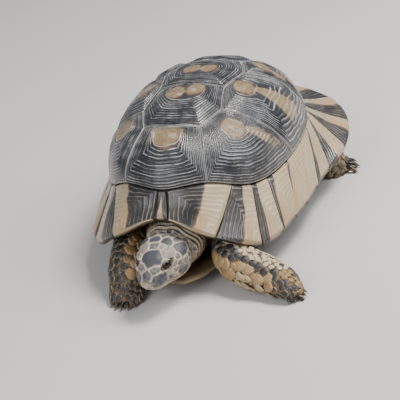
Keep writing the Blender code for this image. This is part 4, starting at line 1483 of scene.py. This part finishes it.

# %% [markdown]
# The surfaces of skin and scales. Skin is matt, tan where its stored tone is high and brown where it is low,
# and cracked into fine polygons; on the neck folds that tone is painted light on the crests and painted shade
# between them. Scales share one group: each scale carries its own tone, from black to cream, its warmth, from
# grey to ochre, and its distance from the middle to the edge, where it is worn and paler.

# %% Skin and scale materials
def make_hide():
    """The group: colour, roughness and height of bare skin, from the stored tone and warmth."""
    group, given, made, place = surface_group("hide", ("Deep", "Light", "Warm"), {"Crack Scale": 900.0})
    patches = cloudy(group, place, 130.0, 5.0, 0.6)
    cracks = add_node(group, "ShaderNodeTexVoronoi", {"feature": "DISTANCE_TO_EDGE"}, Vector=place,
                      Scale=given["Crack Scale"]).outputs["Distance"]
    crack = remap(group, cracks, 0.0, 0.16)
    tone = math_value(group, "ADD", stored(group, "tone"), swing(group, patches, 0.5))
    shade = remap(group, crack, 0.0, 1.0, 0.6, 1.0)
    tone = math_value(group, "MULTIPLY", remap(group, tone, 0.1, 0.9), shade)
    colour = mix_colour(group, tone, given["Deep"], given["Light"])
    warmth = math_value(group, "MULTIPLY", stored(group, "warm"), 0.7)
    group.links.new(mix_colour(group, warmth, colour, given["Warm"]), made["Color"])
    group.links.new(remap(group, patches, 0.3, 0.7, 0.60, 0.80), made["Roughness"])
    raised = math_value(group, "MULTIPLY", patches, 0.6)
    group.links.new(math_value(group, "ADD", crack, raised), made["Height"])
    return group


def make_scale_horn():
    """The group: colour, roughness and height of scales, from the stored tone, warmth and edge."""
    group, given, made, place = surface_group("scale_horn", ("Dark", "Middle", "Light", "Warm", "Rim"),
                                              {"Rim Start": 0.7, "Mottle": 0.55})
    patches = cloudy(group, place, 320.0, 5.0, 0.65)
    grain = cloudy(group, place, 1500.0, 3.0, 0.6)
    tone = math_value(group, "ADD", stored(group, "tone"), swing(group, patches, given["Mottle"]))
    colour = mix_colour(group, remap(group, tone, 0.10, 0.50), given["Dark"], given["Middle"])
    colour = mix_colour(group, remap(group, tone, 0.45, 0.95), colour, given["Light"])
    warm = math_value(group, "MULTIPLY", stored(group, "warm"), remap(group, tone, 0.15, 0.6))
    colour = mix_colour(group, math_value(group, "MULTIPLY", warm, 0.85), colour, given["Warm"])
    worn = math_value(group, "ADD", stored(group, "edge"), swing(group, patches, 0.35))
    rim = remap(group, worn, given["Rim Start"], 1.0, 0.0, 0.75)
    group.links.new(mix_colour(group, rim, colour, given["Rim"]), made["Color"])
    group.links.new(remap(group, grain, 0.3, 0.7, 0.40, 0.62), made["Roughness"])
    group.links.new(math_value(group, "ADD", grain, patches), made["Height"])
    return group


HIDE = make_hide()
SCALE_HORN = make_scale_horn()
SKIN_HIDE = group_material("skin_hide", HIDE, {
    "Deep": (0.085, 0.058, 0.038), "Light": (0.66, 0.57, 0.40), "Warm": (0.40, 0.22, 0.10)}, {})
LIMB_SCALES = group_material("limb_scales", SCALE_HORN, {
    "Dark": (0.022, 0.021, 0.023), "Middle": (0.17, 0.125, 0.085), "Light": (0.56, 0.46, 0.31),
    "Warm": (0.34, 0.185, 0.050), "Rim": (0.36, 0.28, 0.17)}, {"Rim Start": 0.62, "Mottle": 1.0})
HEAD_SCALES = group_material("head_scales", SCALE_HORN, {
    "Dark": (0.052, 0.057, 0.070), "Middle": (0.25, 0.215, 0.195), "Light": (0.50, 0.42, 0.30),
    "Warm": (0.42, 0.25, 0.12), "Rim": (0.64, 0.54, 0.45)}, {"Rim Start": 0.30, "Mottle": 1.0})
print("flesh materials:", SKIN_HIDE.name, LIMB_SCALES.name, HEAD_SCALES.name)

# %% [markdown]
# The skin becomes a piece in place of the solids of flesh. Its tone is pale under the eye and along the lower
# jaw. The folds behind the head carry painted light on their crests and upper folds and painted shade in the
# valleys, and the nostrils and the skin behind the eyeballs are darkened as painted shade. Its map is the
# unrolled board of parts.

# %% The skin piece
def lay_map(bm, points):
    """Unroll each face of the skin on its part's tile, and keep each face whole across the tile's seam."""
    layer = bm.loops.layers.uv.new("OFBake")
    bm.faces.ensure_lookup_table()
    centres = np.array([face.calc_center_median() for face in bm.faces])
    parts = nearest_part(centres)
    for number, part in enumerate(PARTS):
        chosen = np.flatnonzero(parts == number)
        if not len(chosen):
            continue
        centre_turn = place_on_path(part, centres[chosen])[2]
        used = sorted({v.index for i in chosen for v in bm.faces[i].verts})
        row = {index: k for k, index in enumerate(used)}
        _, along, angle, _, _ = place_on_path(part, points[used])
        for i, turn in zip(chosen, centre_turn):
            for loop in bm.faces[i].loops:
                k = row[loop.vert.index]
                near = turn + (angle[k] - turn + pi) % (2 * pi) - pi
                loop[layer].uv = unrolled(part, along[k], near)
    return parts, centres


def mark_skin(bm, points):
    """Store how pale and how warm the skin is, with painted light and shade on the neck folds and painted
    shade in the nostrils and behind the eyeballs.
    """
    tone_layer = bm.verts.layers.float.new("tone")
    warm_layer = bm.verts.layers.float.new("warm")
    local = in_head(points)
    near = on_head(local)
    x, _, z = local.T
    tone = np.full(len(points), 0.20)
    head_tone = 0.75 + 0.2 * bell(z - mouth_height(x) + 0.003, 0.002)
    head_tone -= 0.55 * bell(z - mouth_height(x), 0.0006) * (x > MOUTH_CORNER)
    tone = tone * (1 - near) + head_tone * near
    # Painted light and shade on the folds behind the head: pale on the crest of each fold and paler on the
    # upper folds, dark in the valleys between them.
    folds = smooth((0.0015 - x) / 0.003) * near
    fold_light_and_shade = np.cos(2 * pi * fold_slant(local) / FOLD_WIDTH) * 0.5 + 0.5
    tone = tone * (1 - folds) + folds * (0.10 + 1.0 * fold_light_and_shade * (0.5 + 0.5 * smooth((z + 0.008) / 0.008)))
    warm = np.full(len(points), 0.30) * (1 - near)
    warm += 0.25 * near * smooth(-z / 0.008)
    for side in (1, -1):
        _, reach, _, opening, _ = lid_places(local, side)
        # Painted shade: the skin inside the lids' opening, sunk behind the eyeball, is darkened.
        inside = smooth((1.25 - opening) / 0.3) * smooth((0.008 - reach) / 0.002) * near
        tone *= 1 - 0.92 * inside
        lids = smooth((1.9 - opening) / 0.3) * smooth((0.008 - reach) / 0.002) * near * (1 - inside)
        tone = tone * (1 - lids) + lids * (0.12 + 0.12 * bell(opening - 1.55, 0.15))
        # Painted shade: the nostrils are darkened to near black.
        nostril = away_from(local, NOSTRIL, side)
        tone *= 1 - smooth((0.0014 - nostril) / 0.0004)
        under = bell(away_from(local, UNDER_EYE, side), 0.003)
        tone = np.maximum(tone, 0.9 * under)
    for vertex, pale, glow in zip(bm.verts, tone, warm):
        vertex[tone_layer] = min(max(pale, 0), 1)
        vertex[warm_layer] = min(max(glow, 0), 1)


SKIN.verts.index_update()
SKIN_POINTS = coordinates(SKIN)
FACE_PARTS, FACE_CENTRES = lay_map(SKIN, SKIN_POINTS)
mark_skin(SKIN, SKIN_POINTS)
SKIN_NORMALS = np.array([face.normal for face in SKIN.faces])
SKIN_AREAS = np.array([face.calc_area() for face in SKIN.faces])
SKIN_SHAPE = SKIN.copy()
finish_piece("skin_whole", SKIN, SKIN_HIDE, FLESH)
part_faces = np.bincount(FACE_PARTS, minlength=len(PARTS)).tolist()
print("skin faces:", len(FACE_CENTRES), " by part:", dict(zip(PARTS, part_faces)))

# %% [markdown]
# The head's plates are cut from a copy of the skin itself, so that they follow every curve of it. Each
# place is raised by its distance from the plate's border: the border dips under the skin, and so the plates
# stand apart as solid pieces with a line of pale skin between them. The lids, the mouth line, the nostrils
# and the folds behind the head are left bare.
# The borders wander a little, by a noise whose seed is fixed, so that every run gives the same plates.

# %% Head plates
PLATE_RISE = 0.0009
PLATE_ROOT = 0.0006
PLATE_DIP = -0.00035
BORDER_WIDTH = 0.0008
WARP_SEED = 7


def seed_gaps(local):
    """For points on the head: how far the border of their plate is, and the plate's number."""
    gaps, owners = [], []
    for chunk in np.array_split(local, max(1, len(local) // 4000)):
        distance = np.linalg.norm(chunk[:, None] - HEAD_SEEDS[None, :, :3], axis=2) - HEAD_SEEDS[:, 3]
        order = np.argsort(distance, axis=1)
        rows = np.arange(len(chunk))
        gaps.append((distance[rows, order[:, 1]] - distance[rows, order[:, 0]]) / 2)
        owners.append(order[:, 0])
    return np.concatenate(gaps), np.concatenate(owners)


def bare_places(local):
    """1 where the head carries no plates: lids, the mouth line, the nostrils, and the folds behind."""
    x, _, z = local.T
    bare = smooth((0.0000 - x) / 0.002)
    bare = np.maximum(bare, bell(z - mouth_height(x), 0.0008) * (x > MOUTH_CORNER - 0.001))
    for side in (1, -1):
        _, reach, _, opening, _ = lid_places(local, side)
        bare = np.maximum(bare, smooth((1.65 - opening) / 0.2) * smooth((0.009 - reach) / 0.002))
        nostril = away_from(local, NOSTRIL, side)
        bare = np.maximum(bare, smooth((0.0018 - nostril) / 0.0006))
    return bare


def make_head_plates(shape):
    """The plates as solid pieces over the skin: its own faces, raised by their place and closed below."""
    local = in_head(coordinates(shape))
    keep = (local[:, 0] > -0.001) & (on_head(local) > 0.99)
    outside = [vertex for vertex, kept in zip(shape.verts, keep) if not kept]
    bmesh.ops.delete(shape, geom=outside, context="VERTS")
    local = in_head(coordinates(shape))
    noise.seed_set(WARP_SEED)
    warp = np.array([noise.noise_vector(Vector(point) * 300) for point in local]) * 0.0004
    gap, owner = seed_gaps(local + warp)
    bare = bare_places(local)
    rise = PLATE_RISE * smooth(gap / BORDER_WIDTH) + 0.0003 * smooth((gap - 0.001) / 0.003) - COAT_DEPTH
    rise = rise * (1 - bare) - PLATE_ROOT * bare
    tone_layer, warm_layer = shape.verts.layers.float["tone"], shape.verts.layers.float["warm"]
    edge_layer = shape.verts.layers.float.new("edge")
    shape.normal_update()
    normal_layers = [shape.verts.layers.float.new(axis) for axis in ("out_x", "out_y", "out_z", "rise")]
    dips = []
    for vertex, height, near, number in zip(shape.verts, rise, gap, owner):
        for layer, value in zip(normal_layers, (*vertex.normal, height)):
            vertex[layer] = value
        vertex[tone_layer] = HEAD_SEEDS[number][4]
        vertex[warm_layer] = 0.25 if HEAD_SEEDS[number][4] > 0.5 else 0.08
        vertex[edge_layer] = 1 - min(near / (2 * BORDER_WIDTH), 1)
        if height < PLATE_DIP:
            dips.append(vertex)
    bmesh.ops.delete(shape, geom=dips, context="VERTS")
    roots = set(shape.verts)
    bmesh.ops.extrude_face_region(shape, geom=shape.faces[:], use_keep_orig=True)
    for vertex in shape.verts:
        x, y, z, height = (vertex[layer] for layer in normal_layers)
        vertex.co += Vector((x, y, z)) * (height - PLATE_ROOT if vertex in roots else height)
    bmesh.ops.recalc_face_normals(shape, faces=shape.faces)
    return finish_piece("head_plates", shape, HEAD_SCALES)


head_plates = make_head_plates(SKIN_SHAPE)
print("head plate faces:", len(head_plates.data.polygons))

# %% [markdown]
# The eyes. A ball with a clear bulge over a dark brown iris and a black pupil, set so deep that only the
# lids' opening shows it.

# %% Eyes
def eye_material():
    """A wet dark eye: black pupil, deep brown iris, and nearly black round it."""
    material = bpy.data.materials.new("wet_eye")
    material.use_nodes = True
    tree = material.node_tree
    shader = tree.nodes["Principled BSDF"]
    front = stored(tree, "front")
    place = tree.nodes.new("ShaderNodeTexCoord").outputs["Object"]
    streaks = add_node(tree, "ShaderNodeTexNoise", Vector=place, Scale=1400.0, Detail=3.0).outputs["Fac"]
    iris = mix_colour(tree, remap(tree, streaks, 0.35, 0.65), (0.012, 0.007, 0.005), (0.040, 0.021, 0.010))
    colour = mix_colour(tree, remap(tree, front, 0.66, 0.74), (0.012, 0.009, 0.008), iris)
    colour = mix_colour(tree, remap(tree, front, 0.84, 0.87), colour, (0.002, 0.002, 0.002))
    tree.links.new(colour, shader.inputs["Base Color"])
    shader.inputs["Roughness"].default_value = 0.16
    shader.inputs["Specular IOR Level"].default_value = 0.35
    shader.inputs["Coat Weight"].default_value = 0.35
    shader.inputs["Coat Roughness"].default_value = 0.05
    return material


WET_EYE = eye_material()


def make_eye(side, word):
    """One eyeball with its cornea, looking out along the eye's axis."""
    centre, out, _, _ = eye_axes(side)
    place, gaze = Vector(centre), Vector(out)
    bm = bmesh.new()
    bm.loops.layers.uv.new("OFBake")
    bmesh.ops.create_uvsphere(bm, u_segments=40, v_segments=28, radius=EYE_RADIUS, calc_uvs=True)
    layer = bm.verts.layers.float.new("front")
    turn = gaze.to_track_quat("Z", "Y")
    for vertex in bm.verts:
        front = vertex.co.z / EYE_RADIUS
        vertex[layer] = front
        bulge = 1 + 0.05 * step((front - 0.6) / 0.35)
        vertex.co = HEAD_FRAME @ (place + turn @ (vertex.co * bulge))
    bmesh.ops.recalc_face_normals(bm, faces=bm.faces)
    return finish_piece(f"eyeball_{word}", bm, WET_EYE, [f"eye_{word}"])


make_eye(1, "left")
make_eye(-1, "right")
print("eyes made, radius", EYE_RADIUS)

# %% [markdown]
# Claws: five on each forefoot and four on each hind foot. A claw is a curved cone, flatter underneath, dark
# at the root and paler towards the worn tip.

# %% Claws
FORE_CLAWS = (5, 0.0072, 0.0021, 0.0038)
HIND_CLAWS = (4, 0.0118, 0.0023, 0.0040)


def fan(centre, heading, spread, reach, claws):
    """Roots and tips of claws fanned round the end of a foot, in degrees from +X towards +Y."""
    count, length, radius, height = claws
    fanned = []
    for k in range(count):
        angle = radians(heading + spread * (k / (count - 1) - 0.5))
        out = Vector((cos(angle), sin(angle), 0))
        root = Vector(centre) + out * (reach - 0.0012) + UP * height
        fanned.append((root, Vector(centre) + out * (reach + length) + UP * radius * 0.3, radius * 1.12))
    return fanned


def add_claw(bm, root, tip, radius, columns=12, rows=12):
    """Add one claw: a tapering tube that bends down to its tip."""
    made = bmesh.ops.create_grid(bm, x_segments=columns, y_segments=rows, size=0.5, calc_uvs=True)
    layer = bm.verts.layers.float["along"]
    ahead = (tip - root).normalized()
    side = ahead.cross(UP).normalized()
    over = side.cross(ahead)
    length = (tip - root).length
    for vertex in made["verts"]:
        turn, t = 2 * pi * (vertex.co.x + 0.5), vertex.co.y + 0.5
        size = radius * (1 - t ** 1.35) ** 0.8 * 0.97 + radius * 0.03
        middle = root + ahead * length * t + over * 0.16 * length * sin(pi * t)
        flat = 1.0 if sin(turn) > 0 else 0.72
        vertex.co = middle + side * size * cos(turn) * 0.9 + over * size * sin(turn) * flat
        vertex.co.z = max(vertex.co.z, 0.00005)
        vertex[layer] = t


def make_claws(foot, claws):
    """All the claws of one foot as one piece."""
    bm = bmesh.new()
    bm.loops.layers.uv.new("OFBake")
    bm.verts.layers.float.new("along")
    for root, tip, radius in claws:
        add_claw(bm, root, tip, radius)
    close_up(bm)
    return finish_piece(f"claws_{foot}", bm, CLAW_HORN)


def claw_material():
    """Dark claw horn, paler towards the tip, with a fine mottle."""
    material = bpy.data.materials.new("claw_horn")
    material.use_nodes = True
    tree = material.node_tree
    shader = tree.nodes["Principled BSDF"]
    place = tree.nodes.new("ShaderNodeTexCoord").outputs["Object"]
    patches = add_node(tree, "ShaderNodeTexNoise", Vector=place, Scale=500.0, Detail=4.0).outputs["Fac"]
    tip = math_value(tree, "ADD", stored(tree, "along"), swing(tree, patches, 0.5))
    colour = mix_colour(tree, remap(tree, tip, 0.55, 1.0), (0.020, 0.017, 0.016), (0.16, 0.11, 0.07))
    tree.links.new(colour, shader.inputs["Base Color"])
    tree.links.new(remap(tree, patches, 0.3, 0.7, 0.28, 0.45), shader.inputs["Roughness"])
    return material


CLAW_HORN = claw_material()
FEET = {
    "foreleg_left": fan((0.0885, -0.1215, 0), -30, 100, 0.0050, FORE_CLAWS),
    "foreleg_right": fan((-0.0300, -0.1350, 0), -90, 100, 0.0060, FORE_CLAWS),
    "hindleg_left": fan((0.0770, 0.0580, 0), 28, 80, 0.0095, HIND_CLAWS),
    "hindleg_right": fan((-0.0770, 0.0680, 0), 152, -80, 0.0095, HIND_CLAWS),
}
for foot, claws in FEET.items():
    make_claws(foot, claws)
print("claws:", {foot: len(claws) for foot, claws in FEET.items()})

# %% [markdown]
# ## The coat of scales
#
# A scale is made once, as a flattened ball with a point towards the tip of the limb, and then set hundreds
# of times into one mesh. The places come from throwing darts at the skin: a dart counts only where no
# other scale is nearer than the two of them are wide, and the widest scales are thrown first. Each scale
# lies down its limb with its tip lifted, so that it covers the root of the next one.
#
# What a scale looks like depends on where it is. The front of a tortoise's foreleg is armour: large pale
# ochre shields on the edge that it turns outwards, a row of dark knobs above them, spikes along the lower
# edge, and small granules elsewhere. Hind legs are plainer, and neck and tail have granules only.

# %% One scale
SCALE_COLUMNS = 10
SCALE_ROWS = 4


def scale_template():
    """A unit scale: its mesh, its corners (x to the tip, y across, z out), and how near its edge each is."""
    bm = bmesh.new()
    bmesh.ops.create_uvsphere(bm, u_segments=SCALE_COLUMNS, v_segments=SCALE_ROWS, radius=1)
    corners, edges = [], []
    for vertex in bm.verts:
        x, y, z = vertex.co
        radial = hypot(x, y)
        spread = 1 + 0.16 * radial * (1 - radial)
        height = 1.18 * z if z > 0 and radial > 0.1 else z
        corners.append((x * spread, y * spread, height if z > 0 else z * 0.8))
        edges.append(radial if z >= -0.01 else 1.0)
    mesh = bpy.data.meshes.new("unit_scale")
    bm.to_mesh(mesh)
    bm.free()
    return mesh, np.array(corners), np.array(edges)


UNIT_SCALE, TEMPLATE, TEMPLATE_EDGE = scale_template()
print("one scale has", len(UNIT_SCALE.polygons), "faces")

# %% Where scales go
SCALE_SPACING = 0.80
CELL = 0.0035
DARTS = 3.2
DART_RADIUS = 0.0011
JITTER = 0.0006
KNOB_SIZE = 0.0025
SHIELD_SIZE = 0.0033
SPIKE_SIZE = 0.0026
OUTWARD_EDGES = {"foreleg_left": (0, -0.86, -0.5), "foreleg_right": (1, 0, 0)}
FACING = {"foreleg_left": (0, -0.5, 0.86), "foreleg_right": (0, -0.45, 0.9)}


def foreleg_scale(part, t, down, facing, chance):
    """Radius, length, height, tilt, tone and warmth of a scale on a foreleg; its tone is partly painted shade
    on the shields and on the right foreleg.
    """
    if t > 0.84:
        orange = part == "foreleg_left" and facing > 0.2 and down < -0.1
        return 0.0019, 1.25, 0.45, 10, 0.5 if orange else 0.02 + 0.22 * chance, 0.9 if orange else 0.2
    if t < 0.80 and chance < 0.40 and facing > -0.15 and down > -0.16:
        return 0.0010, 1.05, 0.40, 3, 0.10 + 1.4 * chance, 0.45
    # Dark scales over most of the right foreleg: partly the leg's own dark mosaic, and partly painted shade.
    if part == "foreleg_right" and down < 0.30 and facing > -0.6:
        return 0.0027 - 0.0009 * chance, 1.05, 0.36, 4, 0.02 + 0.14 * chance, 0.05
    if down > 0.80 and part == "foreleg_left":
        return SPIKE_SIZE, 2.1, 0.40, 32, 0.5 + 0.45 * chance, 0.55
    # Ochre shields on the lower face: the ochre is their own colour, but their tone is held low as painted
    # shade, and lower still on the right foreleg.
    if down > 0.46 and facing > -0.15:
        pale = 0.20 + 0.52 * chance if part == "foreleg_left" else 0.10 + 0.42 * chance
        return SHIELD_SIZE * (0.50 + 0.6 * chance), 1.28, 0.28, 11, pale, 0.80
    if down > -0.16 and facing > 0.1:
        return KNOB_SIZE * (0.85 + 0.3 * chance), 1.10, 0.50, 7, 0.01 + 0.10 * chance, 0.1
    if facing > 0:
        return 0.0012 + 0.0006 * chance, 1.05, 0.45, 4, 0.12 if chance < 0.12 else 0.70 + 0.30 * chance, 0.10
    return 0.0013, 1.05, 0.36, 4, 0.50 + 0.3 * chance, 0.35


def hindleg_scale(part, t, down, facing, chance):
    """The same on a hind leg: dark granules, with stout spurs at the heel."""
    if t > 0.80:
        return 0.0022, 1.35, 0.42, 14, 0.10 + 0.35 * chance, 0.4
    return 0.0016 + 0.0005 * chance, 1.1, 0.34, 6, 0.15 + 0.5 * chance, 0.3


def neck_scale(part, t, down, facing, chance):
    """Granules of the neck, smallest behind the head."""
    return 0.0009 + 0.0003 * (1 - t), 1.0, 0.42, 2, 0.30 + 0.4 * chance, 0.45


def tail_scale(part, t, down, facing, chance):
    """Granules of the tail."""
    return 0.0013, 1.2, 0.34, 8, 0.15 + 0.45 * chance, 0.3


RECIPES = {
    "foreleg_left": (foreleg_scale, 0.10, 1.0), "foreleg_right": (foreleg_scale, 0.10, 1.0),
    "hindleg_left": (hindleg_scale, 0.15, 1.0), "hindleg_right": (hindleg_scale, 0.15, 1.0),
    "neck": (neck_scale, 0.35, 0.84), "tail": (tail_scale, 0.25, 1.0),
}


def candidates(part, trial):
    """Places on a part of the skin, each with its recipe worked out, the widest scales first."""
    recipe, first, last = RECIPES[part]
    chosen = np.flatnonzero(FACE_PARTS == PARTS.index(part))
    share = SKIN_AREAS[chosen] / SKIN_AREAS[chosen].sum()
    count = int(SKIN_AREAS[chosen].sum() / (pi * DART_RADIUS ** 2) * DARTS)
    picked = chosen[trial.choice(len(chosen), size=count, p=share)]
    jitter = trial.uniform(-JITTER, JITTER, size=(count, 3))
    normals = SKIN_NORMALS[picked]
    jitter -= (jitter * normals).sum(axis=1)[:, None] * normals
    points = FACE_CENTRES[picked] + jitter
    _, along, angle, middle, heading = place_on_path(part, points)
    length = path_length(part)
    out = points - middle
    out /= np.linalg.norm(out, axis=1)[:, None]
    down = out @ np.array(OUTWARD_EDGES.get(part, (0, 0, -1)))
    facing = out @ np.array(FACING.get(part, (0, 0, 1)))
    made = []
    for k in range(count):
        t = along[k] / length
        if not first <= t <= last or points[k][2] < 0.0008:
            continue
        values = recipe(part, t, down[k], facing[k], trial.uniform())
        made.append((points[k], normals[k], heading[k], unrolled(part, along[k], angle[k]), values))
    made.sort(key=lambda item: -item[4][0])
    return made


def thrown(part, trial):
    """The candidates that are kept: none nearer to another than their sizes allow."""
    kept, cells = [], {}
    for item in candidates(part, trial):
        place, radius = item[0], item[4][0]
        cell = tuple(int(floor(value / CELL)) for value in place)
        near = [other for dx in (-1, 0, 1) for dy in (-1, 0, 1) for dz in (-1, 0, 1)
                for other in cells.get((cell[0] + dx, cell[1] + dy, cell[2] + dz), ())]
        if all((place[0] - p[0]) ** 2 + (place[1] - p[1]) ** 2 + (place[2] - p[2]) ** 2
               > (SCALE_SPACING * (radius + r)) ** 2 for p, r in near):
            kept.append(item)
            cells.setdefault(cell, []).append((place, radius))
    return kept


print("scale recipes for", ", ".join(RECIPES))

# %% [markdown]
# Setting the scales. An array modifier makes as many copies of the unit scale as there are places, in one
# mesh. Every corner of a copy is then moved into the frame of its place: out along the skin's normal, down
# the limb, and across. The map gives each scale a small patch of its own, where its root lies on the skin's
# unrolled board.

# %% The coats
UV_PATCH = 0.001425
OVERLAP = 1.28
COAT_LIFT = 0.0001
ABOVE_GROUND = 0.00003


def scale_corners(item):
    """The corners of one scale, in the shell's frame."""
    place, normal, heading, _, (radius, length, height, tilt, _, _) = item
    out = normal / np.linalg.norm(normal)
    lie = heading - heading.dot(out) * out
    lie /= np.linalg.norm(lie)
    across = np.cross(out, lie)
    x, y, z = TEMPLATE.T
    tip = np.maximum(x, 0)
    narrow = 1 - 0.45 * tip * (length - 1)
    shape_x = x * radius * (1 + (length - 1) * (x > 0))
    lift = np.where(z > 0, z * height * radius, z * 0.35 * radius) + COAT_LIFT
    lift += (x + 0.5) * sin(radians(tilt)) * radius
    shape_x, y = shape_x * OVERLAP, y * OVERLAP
    return place + np.outer(shape_x, lie) + np.outer(y * radius * narrow, across) + np.outer(lift, out)


def copies_of_scale(name, count):
    """A mesh that holds the unit scale many times over, all in one place."""
    stack = bpy.data.objects.new("stack", UNIT_SCALE)
    bpy.context.scene.collection.objects.link(stack)
    array = stack.modifiers.new("copies", "ARRAY")
    array.count = count
    array.use_relative_offset = False
    bpy.context.view_layer.update()
    made = stack.evaluated_get(bpy.context.evaluated_depsgraph_get())
    mesh = bpy.data.meshes.new_from_object(made)
    mesh.name = name
    bpy.data.objects.remove(stack, do_unlink=True)
    return mesh


def make_coat(part, trial):
    """All the scales of one part as one piece."""
    items = thrown(part, trial)
    each = len(TEMPLATE)
    corners = np.concatenate([scale_corners(item) for item in items])
    corners[:, 2] = np.maximum(corners[:, 2], ABOVE_GROUND)
    mesh = copies_of_scale(f"scales_{part}", len(items))
    placed = (corners + np.array(SHELL_PLACE)).astype(np.float32)
    mesh.vertices.foreach_set("co", placed.ravel())
    mesh.update()
    for mark, column in (("tone", 4), ("warm", 5)):
        values = np.repeat([item[4][column] for item in items], each)
        mesh.attributes.new(mark, "FLOAT", "POINT").data.foreach_set("value", values.astype(np.float32))
    edge = np.tile(TEMPLATE_EDGE, len(items)).astype(np.float32)
    mesh.attributes.new("edge", "FLOAT", "POINT").data.foreach_set("value", edge)
    roots = np.repeat([item[3] for item in items], each, axis=0)
    patch = np.tile(TEMPLATE[:, :2], (len(items), 1)) * UV_PATCH
    loops = np.empty(len(mesh.loops), dtype=np.int32)
    mesh.loops.foreach_get("vertex_index", loops)
    layer = mesh.uv_layers.new(name="OFBake")
    layer.data.foreach_set("uv", (roots + patch)[loops].astype(np.float32).ravel())
    mesh.shade_smooth()
    mesh.materials.append(LIMB_SCALES)
    piece = bpy.data.objects.new(mesh.name, mesh)
    bpy.context.scene.collection.objects.link(piece)
    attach(piece, "root")
    return len(items)


SCATTER = np.random.default_rng(7)
counts = {part: make_coat(part, SCATTER) for part in RECIPES}
bpy.data.meshes.remove(UNIT_SCALE)
print("scales:", counts)
